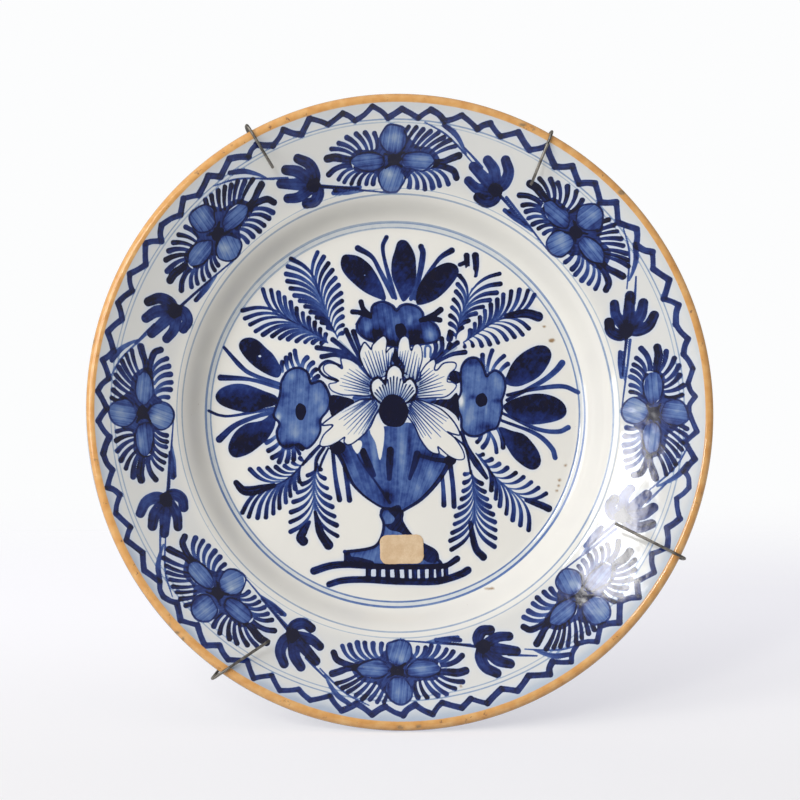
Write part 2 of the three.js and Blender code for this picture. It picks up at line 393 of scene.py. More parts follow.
def spread(route, count):
    """Evenly spaced points along a route, both ends among them."""
    lengths = np.hypot(*np.diff(route, axis=0).T)
    run = np.concatenate(([0], np.cumsum(lengths))) / lengths.sum()
    at = np.linspace(0, 1, count)
    return np.stack((np.interp(at, run, route[:, 0]), np.interp(at, run, route[:, 1])), 1)


def bow(start, end, bend):
    """An arc between two points that leaves their chord by bend times its length."""
    pull = end - start
    knee = (start + end) / 2 + 2 * bend * np.array((-pull[1], pull[0]))
    t = np.linspace(0, 1, 5)[:, None]
    return start * (1 - t) ** 2 + 2 * knee * t * (1 - t) + end * t**2


def oval(x, y, rx, ry, wobble=0.04):
    count = 10
    a = np.linspace(0, 2 * math.pi, count, endpoint=False)
    return (x, y) + polar(1 + dice.normal(0, wobble, count), a) * (rx, ry)


def streaks(across, seed):
    """Fine brush streaks from -1 to 1 along a mark, from the distance across it in mm."""
    source = np.random.default_rng(seed)
    total = np.zeros_like(across)
    for wave in (2.4, 1.3, 0.8):
        total += np.sin(across * 2 * math.pi / wave + source.uniform(0, 6.28)) / 3
    return total


class Hand:
    """Where a motif is painted: it turns and shifts points from its own mm to the dish's."""

    def __init__(self, x, z, turn=0, shake=0.0, tone=1.0):
        a = math.radians(turn)
        self.matrix = np.array(((math.cos(a), math.sin(a)), (-math.sin(a), math.cos(a))))
        self.at = np.array((x, z), float)
        self.shake = shake
        self.tone = tone

    def place(self, points):
        """Points on the dish. The hand shakes at each point of a long shape, or at a stroke's ends."""
        p = np.array(points, float)
        if self.shake and len(p) > STROKE_POINTS:
            p = p + dice.normal(0, self.shake, p.shape)
        elif self.shake:
            start, end = dice.normal(0, self.shake, (2, 2))
            p = p + start + (end - start) * np.linspace(0, 1, len(p))[:, None]
        return p @ self.matrix + self.at

    def stroke(self, points, width, tone, layer=line, streak=0.12, build=0.15):
        """One pull of the brush through the points. width and tone may be lists, from start to end."""
        route = smooth(self.place(points))
        widths = np.atleast_1d(np.array(width, float))
        tones = np.atleast_1d(np.array(tone, float)) * self.tone
        where, x, z = window(route, widths.max() / 2 + SOFT)
        off, share, side = follow(route, x, z)
        wide = np.interp(share, np.linspace(0, 1, len(widths)), widths)
        deep = np.interp(share, np.linspace(0, 1, len(tones)), tones)
        deep = deep * (1 + streak * streaks(side, dice.integers(SEEDS)))
        layer.put(where, off - wide / 2, deep, build)

    def strokes(self, rows, *tone, **more):
        """A stroke for each row of points, widths and tones, or with one tone for them all."""
        for row in rows:
            self.stroke(*row, *tone, **more)

    def region(self, points):
        """A closed shape's route, window and cells, and their distance to its edge and outside it."""
        route = smooth(self.place(points), closed=True)
        where, x, z = window(route, SOFT)
        off, inside = within(route, x, z)
        return route, where, x, z, off, np.where(inside, -off, off)

    def patch(self, points, tone, layer=line, lines_from=None, grain=(0.6, 0.8), streak=0.15, rim=0.0,
              build=0.2, thins=None):
        """A filled shape. Its streaks run along grain, or away from lines_from.

        rim deepens it towards its edge, and thins is the way towards which the pigment runs out.
        """
        route, where, x, z, off, outside = self.region(points)
        if lines_from is None:
            way = np.array(grain) @ self.matrix
            way /= np.hypot(*way)
            across = x * way[1] - z * way[0]
        else:
            at = self.place([lines_from])[0]
            reach = np.hypot(route[:, 0] - at[0], route[:, 1] - at[1]).max()
            across = np.arctan2(z - at[1], x - at[0]) * reach * 0.6
        deep = tone * self.tone * (1 + streak * streaks(across, dice.integers(SEEDS)))
        deep = deep + rim * np.exp(-off / DARK_EDGE)
        if thins:
            way = np.array(thins) / np.hypot(*thins)
            run = (x - route[:, 0].mean()) * way[0] + (z - route[:, 1].mean()) * way[1]
            deep = deep - THINNING * np.clip(run / np.abs(run).max() * 1.6, 0, 1)
        layer.put(where, outside, deep.astype(np.float32), build)

    def scrape(self, points, *layers, share=1.0):
        """Takes pigment away inside a shape, whose edge is drawn anew for each layer."""
        for layer in layers:
            _, where, _, _, _, outside = self.region(points)
            layer.scrape(where, outside, share)

    def touch(self, x, y, rx, ry, change):
        """Makes a soft oval of the wash deeper, or paler where change is negative."""
        at = self.place([(x, y)])
        where, gx, gz = window(at, TOUCH_REACH * max(rx, ry))
        local = np.stack((gx - at[0, 0], gz - at[0, 1]), -1) @ np.linalg.inv(self.matrix)
        near = np.exp(-((local[..., 0] / rx) ** 2 + (local[..., 1] / ry) ** 2))
        wash.tone[where] *= np.maximum(1 + change * near, 0).astype(np.float32)

    def outline(self, points, width, tone, closed=True):
        """A thin line of uneven width round a shape."""
        p = list(points)
        if closed:
            p = p + p[:2]
        self.stroke(p, [width * k for k in (0.9, 1.15, 0.85, 1.1, 0.95)], tone)

    def blob(self, x, y, rx, ry, tone):
        self.patch(oval(x, y, rx, ry), tone)

    def comb(self, roots, tips, count, bend, width, tone=(0.55, 0.8, 0.95)):
        """A row of curved strokes from points spread along roots to as many along the tips."""
        for root, tip in zip(spread(smooth(roots), count), spread(smooth(tips), count)):
            fat = dice.uniform(0.88, 1.12)
            deep = dice.uniform(0.88, 1.06)
            self.stroke(bow(root, tip, bend), [w * fat for w in width], [t * deep for t in tone])


# Rings and the zigzag

cells = np.arange(SIDE, dtype=np.float32) * CELL - REACH
sheet_x, sheet_z = np.meshgrid(cells / ROUND_X, cells / ROUND_Z)
sheet_radius = np.hypot(sheet_x, sheet_z)
sheet_angle = np.arctan2(sheet_z, sheet_x)
everywhere = slice(None)


def unsteady(angle, seed, size):
    """A slow wobble in mm round the dish, as a hand on a turning wheel makes."""
    source = np.random.default_rng(seed)
    total = np.zeros_like(angle)
    for k in (1, 2, 3, 5, 8, 13):
        total += np.sin(k * angle + source.uniform(0, 6.28)) * source.uniform(0.3, 1) / k**0.6
    return total * size / WAVE_REACH


def ring(radius, width, tone, seed, wobble=0.25, fade=0.35, layer=line, centre=(0, 0), heavy=0.0):
    """A banded line. heavy deepens it at its lower right and thins it at its upper left."""
    a = sheet_angle
    shifted = centre[0] * np.cos(a) + centre[1] * np.sin(a)
    off = np.abs(sheet_radius - radius - shifted - unsteady(a, seed, wobble))
    wide = width * (1 + 0.3 * unsteady(a, seed + 1, 1))
    deep = tone * (1 + fade * unsteady(a, seed + 2, 1)) * (1 + heavy * np.cos(a + 1.1))
    layer.put(everywhere, off - wide / 2, deep.astype(np.float32))


# The zigzag inside the ochre edge: its teeth, the radii between which they run, and its width
TEETH = 62
TEETH_RADII = (118.6, 122.3)
TEETH_WIDTH = 2.4


def zigzag():
    """The toothed line, drawn side by side."""
    count = 2 * TEETH
    turns = (np.arange(count + 1) + dice.normal(0, 0.13, count + 1)) / count
    turns[-1] = turns[0] + 1
    radii = np.where(np.arange(count + 1) % 2 == 0, *TEETH_RADII) + dice.normal(0, 0.45, count + 1)
    radii[-1] = radii[0]
    angles = turns * 2 * math.pi
    corners = polar(radii, angles) * (ROUND_X, ROUND_Z)
    hand = Hand(-0.7, 0.1)
    deep = 0.86 + 0.1 * unsteady(angles, 31, 1)
    for a, b, tone in zip(corners, corners[1:], deep):
        sag = (a + b) / 2 + dice.normal(0, 0.32, 2)
        wide = TEETH_WIDTH * dice.uniform(0.85, 1.15)
        hand.stroke((a, sag, b), (wide, wide * 0.92, wide), tone, streak=0.1, build=0.05)


# Border motifs. Their own x runs clockwise round the rim and y outward.


def border_hand(angle, radius, turn, **more):
    a = math.radians(angle)
    return Hand(radius * math.cos(a), radius * math.sin(a), angle - 90 + turn, **more)


def border_flower(hand):
    """Four washed petals round a dark heart, with four combs of strokes and stems each way."""
    hand.patch([(-17.5, 0.5), (-15, 3.9), (-8, 4.4), (-6.3, 8.6), (0, 11.4), (6, 9.2), (9, 5.2),
                (15, 4.2), (18.4, 0), (17.2, -3.8), (8, -5), (5, -8), (-5.5, -8), (-8, -4.6),
                (-15.5, -4.2)], 0.8, streak=0.1)
    for comb in (
        ([(4.3, 8), (8, 5), (12.5, 3.8), (16.5, 1.6)],
         [(6.2, 12.8), (11.3, 11.8), (17.3, 10), (22.6, 7), (25.3, 4.8)],
         8, 0.04, (1.1, 1.6, 2), (0.85, 0.95, 1)),
        ([(4.5, -4), (10, -4.6), (16, -3.4)], [(6.4, -10.6), (13.2, -11.6), (22.2, -10)],
         6, 0.14, (1, 1.6, 2.2), (0.65, 0.78, 0.9)),
        ([(-16.5, 2), (-12.5, 3.3), (-6.8, 4.5)],
         [(-25.6, 4.6), (-20.6, 8.6), (-16.6, 9.8), (-12.6, 10.8), (-7.5, 10.8)],
         6, -0.08, (1.2, 1.7, 2.2), (0.85, 0.95, 1)),
        ([(-16.5, -3), (-12, -4.2), (-6, -4.5)], [(-22.8, -7.4), (-16, -9.2), (-8.6, -9.2)],
         6, -0.12, (1.1, 1.6, 2), (0.7, 0.85, 0.95)),
    ):
        hand.comb(*comb)
    hand.strokes((
        ([(15, -1), (20, -1), (24, 0.2), (26.6, 0.9)], (2, 2.3, 2.8, 3), (0.9, 0.95, 1)),
        ([(15, -2.2), (20, -3), (24.3, -4.8), (25.6, -7.6)], (2, 2.3, 2.8, 2.7), (0.9, 0.95, 1)),
        ([(-14, 0.2), (-20, 0.8), (-24, 1.3), (-27.2, 0.7)], (2, 2.8, 3.4, 3.2), (0.9, 1, 1.05)),
        ([(-15, -2), (-20, -1.8), (-24, -3), (-26.8, -5.1)], (1.6, 2, 2.2, 2.4), (0.85, 0.9, 1)),
    ))
    for x, y, rx, ry, deep, grain in (
        (0, 8.2, 5.6, 5.4, 0.55, (0.15, 1)), (-0.9, -7.2, 5.4, 5.3, 0.52, (0.35, 1)),
        (-10.3, -0.4, 6.9, 3.7, 0.64, (1, 0.1)), (9.9, -0.5, 6.8, 3.7, 0.57, (1, -0.1)),
    ):
        petal = oval(x, y, rx, ry, wobble=0.03)
        hand.scrape(petal, line)
        hand.patch(petal, deep * dice.uniform(0.92, 1.08), wash, grain=grain, streak=0.26, rim=0.14,
                   build=0)
        hand.touch(x + dice.uniform(-1.5, 1), y + dice.uniform(0, 1.6), rx * 0.55, ry * 0.4,
                   -dice.uniform(0.2, 0.4))
        hand.outline(petal, 0.7, 0.82)
    for soft in ((4, 8, 1.6, 4, 0.4), (-2.3, -4.6, 1.6, 2.2, -0.35), (0, 0, 5, 3, 0.5)):
        hand.touch(*soft)
    hand.scrape([(-16.9, -3.2), (-17.5, -1.4), (-16.7, 0.4), (-16.3, -1.4)], line, share=0.8)
    hand.blob(0.2, 0.3, 2.8, 2.1, 1.08)
    hand.strokes([([(0, 0), (x * 0.6, y * 0.7), (x, y)], (2, 1.5, 0.8), (1, 0.9))
                  for x, y in ((-3.8, 2.6), (4, 2.8), (-3.4, -2.8), (3.6, -3))])
    hand.strokes((
        ([(12.5, 14), (20, 10), (25.2, 5.5), (31.5, -1.5)], (0.5, 0.8, 0.8, 0.6), 0.7),
        ([(20.5, 13), (25, 9.5), (28, 5), (29.6, 1.5)], (1.9, 2.3, 1.7, 0.7), (0.9, 0.7, 0.62)),
        ([(-2, -12.5), (-10, -11.7), (-20, -10.7), (-30, -10)], (0.5, 0.8, 0.9, 1.2), 0.75),
        ([(-25, -12.6), (-19, -12.4), (-12.5, -11.6)], (1.8, 1.7, 0.7), (0.72, 0.58, 0.45)),
    ))


def sprig(hand):
    """A five-lobed dark leaf on a stem."""
    for lobe, widths in (
        ([(-0.7, 11), (2.6, 7.5), (3.2, 3), (1.5, 0)], (3.9, 4.7, 4.6)),
        ([(-7, 8.8), (-3, 6.2), (0, 1.5)], (4, 4.8, 4.4)),
        ([(-11.3, 4.4), (-6, 2.2), (0, -0.5)], (3.9, 4.7, 4.4)),
        ([(-10.6, -1.7), (-6, -2.9), (0, -1.8)], (3.7, 4.3, 4)),
        ([(-4.4, -6.6), (-0.8, -7), (2, -4.6), (2, -1.5)], (3.9, 4.8, 4.2)),
    ):
        deep = dice.uniform(0.86, 1.02)
        hand.stroke(lobe, widths, (deep, deep * 0.88, 0.95), streak=0.1, build=0.02)
    hand.blob(1, -0.8, 2.8, 2.6, 1.1)
    hand.strokes((
        ([(-18, 9), (-12, 6.8), (-8, 5.2)], (0.7, 1, 1.2), 0.72),
        ([(3.8, -2), (12, -5.8), (18, -8.5)], (1.3, 1, 0.8), (0.9, 0.75)),
        ([(8.5, -6.6), (13, -8), (18.5, -9.2)], (1.8, 2, 1.6), (0.85, 0.7, 0.62)),
    ))


# Motifs of the well, in mm from the dish's axis

well = Hand(-0.2, -0.35, shake=0.1)

# Each dark leaf: its outline, and the way towards which its pigment thins
LEAVES = (
    ([(-0.5, 68), (0.8, 71), (2.7, 72.3), (5, 71), (7.6, 66.5), (8.5, 61), (8, 55), (6, 49), (3, 46.5),
      (1, 50), (-1.5, 57), (-1.8, 63)], (0, -1)),
    ([(-22.8, 62), (-21.6, 65.3), (-18.5, 65.7), (-14.5, 64.7), (-10.5, 61.5), (-7, 56.5), (-5, 51.5),
      (-4, 47.5), (-8, 48), (-13, 50.5), (-18, 54.5), (-21.5, 58.5)], (1, -1)),
    ([(9, 45.5), (8.5, 50), (11, 55.5), (16, 60.5), (21, 62.8), (25, 62), (26, 59), (24.5, 55.5),
      (20, 50.5), (15, 47)], (1, -1)),
    ([(-64.4, 27.5), (-63.2, 30.3), (-60, 31.2), (-56.5, 30), (-53, 27.3), (-50, 24), (-47, 18.5),
      (-48, 15), (-51, 15.5), (-57, 18.5), (-61.8, 23)], (1, 0.2)),
    ([(-74, 7), (-71.5, 10.3), (-66.5, 12.2), (-61, 12), (-54, 9.5), (-49, 7.3), (-49.5, 4),
      (-54, 2.5), (-59, 0.7), (-66, 1.5), (-71.8, 3.8)], (0, 1)),
    ([(-50, 0.5), (-55, -2.5), (-61, -4), (-65.5, -7), (-68, -11), (-68.7, -14.5), (-67.5, -17),
      (-65, -17.8), (-60.5, -16.5), (-56, -13.5), (-52, -9.5), (-49.5, -4.5)], (0, 1)),
    ([(45.3, 13.5), (47, 19), (50, 24), (54.5, 27.5), (59, 29), (62.8, 28.5), (64.5, 25.5),
      (63.5, 21.5), (60, 16.8), (55.5, 13.8), (50, 12)], (0.3, -1)),
    ([(44.5, 4), (50.5, 7.5), (58, 9.2), (64, 8.6), (68.5, 6.3), (70.8, 3), (69.8, 0), (66, -2.2),
      (58, -3.7), (53, -2.7), (48, -0.5)], (0, -1)),
    ([(43, -4.5), (48, -6), (53, -7.5), (57, -11.5), (59.5, -15.5), (60.2, -19.3), (58.2, -21.8),
      (54.5, -21.5), (49.5, -18), (46, -13), (43.5, -8)], (-1, -0.3)),
)

# Curled strokes between the leaves: their points, and their widths from start to end
CURLS = (
    ([(-15.8, 68.5), (-10, 65), (-6.5, 59), (-1, 48.5)], (2.6, 1.7, 2, 2)),
    ([(-4, 73.2), (-5.5, 69), (-4, 61), (0, 48)], (1.9, 1.5, 1.8, 1.4)),
    ([(10.5, 69.5), (11.3, 66), (9.3, 55), (6.5, 48)], (2.4, 2.6, 2, 1.8)),
    ([(23.3, 68), (18, 64.5), (12, 56), (8, 48)], (2.6, 1.6, 1.9, 1.8)),
    ([(-70.5, 27), (-63, 18.8), (-58, 15.8), (-48, 12.5)], (1.3, 2, 1.6, 1.4)),
    ([(-72, 14.8), (-60, 14.2), (-48, 11)], (2.6, 1.6, 1.6)),
    ([(-76.5, 0.9), (-72, -0.8), (-66, -0.8), (-49, 2.5)], (1.2, 1.1, 1.2, 1.2)),
    ([(-72.3, -10.6), (-66, -5), (-58, -1.5), (-49, 1)], (3, 2.2, 1.8, 1.6)),
    ([(46, 6.5), (60, 14), (66, 18.5), (69, 22)], (1.4, 1.8, 2.2, 2.8)),
    ([(46.5, 8.5), (57, 11), (69, 12.4), (75.5, 10)], (1.4, 1.6, 2, 1.8)),
    ([(44, 1), (58, -5.3), (67, -6.5), (71.5, -4.8)], (1.2, 1.5, 1.8, 2.2)),
    ([(44, -2), (58, -7.3), (64.5, -13), (66, -17)], (1.2, 1.4, 2, 2.2)),
)


# A fern's strokes from root to tip
FERN_WIDTHS = (0.35, 0.8, 1.55, 1.95)
FERN_TONES = (0.62, 0.74, 0.86, 0.98)


def fern(spine, sides):
    """Strokes leaving a spine towards the envelope on each side of it.

    Each side is its envelope from the root outward and the number of its strokes.
    """
    route = smooth(spine)
    well.stroke(spine, (0.6, 0.6, 0.48), 0.6)
    for bend, (envelope, count) in zip((-0.15, 0.15), sides):
        tips = spread(smooth(envelope), count)
        roots = spread(route, count + 3)[:count]
        for root, tip in zip(roots, tips):
            fat = dice.uniform(0.9, 1.12)
            deep = dice.uniform(0.86, 1.03)
            well.stroke(bow(root, tip, bend), [w * fat for w in FERN_WIDTHS],
                        [t * deep for t in FERN_TONES])


# Each fern: its spine, and the envelope and stroke count of its left and of its right side
FERNS = (
    ([(-24, 31.5), (-28, 40), (-30.5, 47), (-33.5, 55)],
     (([(-28, 35.5), (-34.3, 41.3), (-39.5, 46.5), (-43.7, 52), (-45, 58.5), (-43, 63.5)], 12),
      ([(-22, 33.5), (-21.8, 38.8), (-22, 45), (-23.3, 52.5), (-28, 62.5), (-32.3, 66.7)], 12))),
    ([(-28, 29.5), (-34, 33.5), (-40, 36.8), (-47, 40)],
     (([(-30.5, 29.3), (-39, 29.8), (-49.5, 31.7), (-57, 33.5), (-62, 39.3), (-63, 42.3)], 12),
      ([(-28.8, 32.8), (-34.5, 38.5), (-41.8, 44.3), (-48, 49.7), (-54.5, 51)], 11))),
    ([(25, 31.5), (26.5, 39), (29, 46), (31.5, 52.5)],
     (([(22.3, 34.5), (22.7, 41), (24, 47.5), (26.5, 57.5)], 8),
      ([(27.5, 36), (32, 41), (38.7, 47.3), (43, 53), (43.2, 58.5)], 8))),
    ([(28, 30), (34, 34), (39, 37.5), (45, 40.5), (50, 42.5)],
     (([(30.8, 35), (36.2, 42.2), (40.5, 46.7), (46.5, 51), (54.5, 52), (57.5, 50)], 11),
      ([(28.5, 28.5), (36.3, 29), (43.5, 30.7), (52, 33.5), (55.3, 36)], 9))),
    ([(-37, -19), (-42, -24.5), (-47, -28), (-52, -30)],
     (([(-39.5, -27.5), (-42.5, -32.5), (-46.5, -37.5), (-52.2, -41.7), (-59.5, -42), (-62.7, -40)], 10),
      ([(-39, -18), (-44, -20.5), (-51, -21.7), (-59.7, -22.7)], 7))),
    ([(-32, -20), (-33, -26), (-33.5, -33), (-33, -43)],
     (([(-30.5, -22.5), (-28.3, -29.5), (-26, -38), (-24.2, -45.5), (-24, -49.5)], 8),
      ([(-36, -25), (-40, -31.5), (-43, -39.5), (-43, -48)], 7))),
    ([(31.2, -22.5), (32, -30), (32.5, -36), (32.3, -42), (31.3, -47)],
     (([(35.5, -28), (38, -35), (41, -43.8), (40.7, -53.7)], 9),
      ([(28.5, -24), (28, -31.7), (24.3, -43.8), (22.6, -52), (23, -55)], 10))),
    ([(33, -15.5), (38, -22), (43, -27), (48, -31), (54, -34.5), (60, -36.5)],
     (([(36, -16), (45.5, -21.3), (55, -26.5), (62, -32)], 9),
      ([(39.5, -30.5), (43, -37), (48, -42.5), (54.7, -46.7)], 7))),
)

# Fat strokes that end the ferns, and loose dashes: points and widths
DASHES = (
    ([(33, 58), (33.3, 62), (33, 66)], (2, 2.6, 3)),
    ([(29.8, 61.5), (29.5, 66)], (2, 2.6)),
    ([(26.5, 62.2), (29.3, 63.2)], (1.8, 1.8)),
    ([(46, 41.3), (54, 42.3), (59, 41)], (2.2, 3.6, 4.2)),
    ([(22.3, 31.5), (22.6, 33)], (2.8, 2.8)),
    ([(22, 28), (22.5, 29)], (2.4, 2.4)),
    ([(-50, -29), (-58, -31), (-62.5, -31), (-65.5, -28)], (2, 3.6, 4, 2.4)),
    ([(-33, -40), (-31, -48), (-27.6, -53.3)], (1.4, 3.2, 4)),
    ([(-35.5, -44), (-39, -50), (-38, -52)], (1.4, 3.4, 4)),
    ([(31, -44), (33, -54), (36.2, -58)], (1.8, 2.8, 3.2)),
    ([(54, -34.5), (60, -36.5), (63.3, -38)], (1.8, 2.8, 3)),
    ([(27.5, -7), (29.5, -13), (33, -19), (37.5, -25.5)], (1.6, 2.2, 3, 1.6)),
    ([(24.5, -9), (28.3, -12.5), (29.8, -17), (31, -24)], (0.7, 0.9, 1, 0.9)),
    ([(-29.5, -13.5), (-32.3, -18), (-33, -23)], (1.4, 1.8, 1)),
    ([(-31.5, -13), (-35.5, -17.5), (-38, -20.5)], (1.4, 1.8, 1.2)),
    ([(-27.8, -13.8), (-30, -18.5), (-31.5, -23)], (0.8, 1.2, 0.9)),
)

# The three washed flowers: outline, heart and its size, depth of the wash, and soft touches
WASHED_FLOWERS = (
    ([(-46.9, 13.5), (-45, 17), (-42, 18.8), (-39, 18.8), (-36.3, 17), (-35, 13), (-33.5, 13),
      (-31, 13.6), (-28.8, 11.5), (-27, 6.5), (-28, 2), (-30.8, -2), (-31, -7), (-33.5, -11.5),
      (-36.5, -14), (-40, -12), (-44, -14), (-47.5, -12), (-48.8, -7.5), (-47.5, -3.8), (-50, -0.5),
      (-49, 3.5), (-47.5, 8.5)],
     (-39, 1.2, 2.3, 3.4), 0.56,
     ((-42.5, 15.5, 1.6, 2, -0.35), (-39, 10, 1.2, 5, -0.2), (-32, 8, 2, 4, -0.25),
      (-30, 1.5, 1.8, 2.8, -0.3), (-41.5, -7.5, 2.4, 3, -0.4), (-33.5, -7.5, 1.8, 1.8, -0.35),
      (-48.3, -1.4, 1.3, 2, -0.75), (-41, 14, 2, 2, 0.25), (-45, 7, 2.5, 2.5, 0.25),
      (-35.5, 8, 0.7, 3.5, 0.25), (-43, -12.5, 3, 1.5, 0.5), (-31.5, -3, 1.5, 2, 0.4))),
    ([(27, 10), (26.8, 18), (28.3, 21.8), (31, 23.7), (34, 23.5), (36, 20), (37.5, 16.3),
      (38.8, 17.6), (41.3, 18.5), (44.3, 16.5), (45.4, 12.5), (45, 9), (43.9, 6.3), (44.2, 3),
      (43.3, -1), (41.8, -4.8), (38.5, -6.2), (34, -8.3), (30, -8.3), (27.2, -5.3), (27, -1.5),
      (25.7, 2.5), (25.4, 6)],
     (35.5, 6.4, 2.5, 3), 0.56,
     ((34.5, 15, 1.2, 5, -0.2), (42, 13.5, 2.4, 3, -0.3), (30, -1.5, 2.2, 4, -0.35),
      (37.6, 2.3, 0.8, 3, -0.3), (42, 1.5, 1.6, 2.5, -0.25), (31.5, 4, 0.9, 3, -0.25),
      (26.9, 6.2, 1.6, 3.6, -1), (37, -4.5, 3.4, 1.8, 0.6), (42.3, 6.4, 2.4, 0.9, 0.45),
      (32, 22, 3.4, 1.6, 0.4), (32, 7.5, 2, 0.9, 0.5))),
    ([(-16, 37), (-14, 40.3), (-10.2, 41), (-10, 43.5), (-8.6, 45.6), (-5, 46.4), (-1.5, 45),
      (0.3, 43), (2, 45), (5, 45.8), (9, 44.6), (11.3, 42), (11.5, 39.7), (14, 39), (17, 36.8),
      (18.4, 33.5), (17, 30.8), (13.5, 29.5), (9, 29), (0, 28), (-9, 30), (-13, 31.5), (-15.5, 34)],
     (2.2, 34.5, 2.4, 3.4), 0.7,
     ((-11.5, 36, 1.4, 2.6, -0.35), (-5.5, 42, 2.4, 1.6, -0.1), (0, 38.5, 1.6, 2.4, -0.3),
      (-2.5, 34.5, 1.3, 1.6, -0.25), (5.6, 38.5, 1.1, 2, -0.4), (9.8, 42, 1.4, 2.4, -0.3),
      (14.3, 33, 2.3, 3, -0.5), (-7.5, 34, 3.2, 2, 0.7), (8, 34, 3, 3, 0.6), (-5, 29, 9, 2.6, 0.7),
      (8, 29.5, 4, 2, 0.6), (-7, 46.3, 3, 0.6, -0.6))),
)

# White petals of the middle flower: outline, where its fine lines start, where they end, how many
PETALS = (
    ([(-10.5, 15.5), (-13, 19.5), (-14.8, 24.5), (-14.2, 28), (-12.6, 29.6), (-11.2, 28.6),
      (-10.1, 26.8), (-9.6, 28.5), (-7.2, 31), (-4.9, 32.4), (-3.8, 30.6), (-4, 26), (-2.6, 27.2),
      (-0.8, 28.1), (-0.6, 26.3), (-2, 22), (-2.5, 18), (-5, 13), (-8, 13)],
     [(-9.6, 15), (-6, 15.8), (-2.4, 21)], [(-14, 25), (-10, 26.4), (-5.5, 26.8), (-1.5, 25.5)], 10),
    ([(3.4, 19.6), (1, 23.5), (1, 28), (1.8, 31.2), (3.6, 32.6), (5.4, 31.3), (6, 27.5), (6.6, 26.8),
      (7.6, 28.6), (9.2, 29.4), (10.7, 27.5), (10.7, 23.5), (9.8, 19.5), (8.6, 15), (6, 13), (3, 14)],
     [(1.6, 21), (4, 16.5), (8.3, 15.5)], [(1.9, 26), (5, 26.8), (7.5, 26.2), (10, 25)], 8),
    ([(-11, 15.8), (-14.5, 19.6), (-18.5, 22.4), (-22.2, 23), (-22.4, 21), (-21.8, 19.3),
      (-22.6, 18.9), (-24.5, 20.6), (-27.5, 21), (-29.6, 19.8), (-29.3, 17.6), (-26.8, 15.6),
      (-24, 14.3), (-24.6, 13.2), (-27.4, 12.4), (-26.4, 9.9), (-22, 8.3), (-17, 7.9), (-11, 7.9),
      (-9, 10), (-9, 14)],
     [(-11, 8.8), (-11.3, 11.8), (-10.3, 15)], [(-22.5, 10.5), (-23.4, 15), (-16, 20.3)], 9),
    ([(9.8, 14.8), (10.4, 17.6), (12.6, 21), (15.6, 23), (16.6, 21.4), (16.2, 18.8), (17.4, 18.8),
      (20, 21.4), (24.3, 21.7), (24.7, 19.5), (22.2, 17.2), (21.5, 14.2), (23.5, 13.6), (25.1, 12.3),
      (23.6, 10), (20.5, 7.8), (15, 7.1), (9, 7.1), (7.5, 9), (8, 13)],
     [(9.1, 14.8), (9.6, 11.5), (9.2, 8)], [(14, 19.5), (19.5, 16), (20.5, 9)], 9),
    ([(-9, 6.6), (-14, 6.3), (-20, 3.2), (-26.3, -1), (-30.1, -4.2), (-26, -4.3), (-26.8, -5.6),
      (-29.4, -8.3), (-31, -12.6), (-28, -13), (-24, -11.2), (-20.8, -9), (-21.2, -11.2),
      (-19.5, -12.3), (-16, -10.6), (-11, -5.6), (-8, 0), (-5.5, 3), (-5.5, 7)],
     [(-11, 6.6), (-8.2, 6.4), (-7.2, 2.4)], [(-23, 0), (-22.5, -5), (-17.5, -9.5), (-13, -8)], 10),
    ([(6, 6.6), (8.5, 6.7), (13, 5.4), (19, 2), (24, -2.6), (26.6, -7.6), (24, -7.6), (21.3, -6.9),
      (24.5, -9.3), (27.4, -13.8), (28.2, -17.4), (25.5, -18.3), (22, -16.7), (18.5, -13.7),
      (17.2, -13), (17.8, -15.8), (14, -14.6), (10.5, -10.3), (7.5, -4.2), (4, 1), (3.5, 6)],
     [(5.3, 1.4), (5.8, 5), (8.8, 6.4)], [(11.5, -9.5), (17, -9.5), (21, -5.5), (22, -1.5)], 10),
)


def bare_patch(shape):
    """Ground left white under the brushwork laid before."""
    well.scrape(shape, line, wash)


def white_petals(outline, starts, ends, count):
    bare_patch(outline)
    for root, tip in zip(spread(smooth(starts), count), spread(smooth(ends), count)):
        tip = root + (tip - root) * dice.uniform(0.85, 1.05)
        middle = (root + tip) / 2
        well.stroke((root, middle), (1.7, 1), (0.24, 0.05), layer=wash, build=0)
        well.stroke((root, middle, tip), (0.45, 0.5, 0.35), (0.85, 0.72, 0.5), build=0)
    well.outline(outline, 0.6, 0.84)


def washed_flower(outline, heart, tone, touches):
    """A washed flower of round lobes with a dark outline and heart."""
    x, z, rx, rz = heart
    bare_patch(outline)
    well.patch(outline, tone, wash, grain=(dice.uniform(-0.3, 0.3), 1), streak=0.13, rim=0.2)
    for touch in touches:
        well.touch(*touch)
    well.outline(outline, 1, 0.86)
    well.blob(x, z, rx, rz, 1.08)


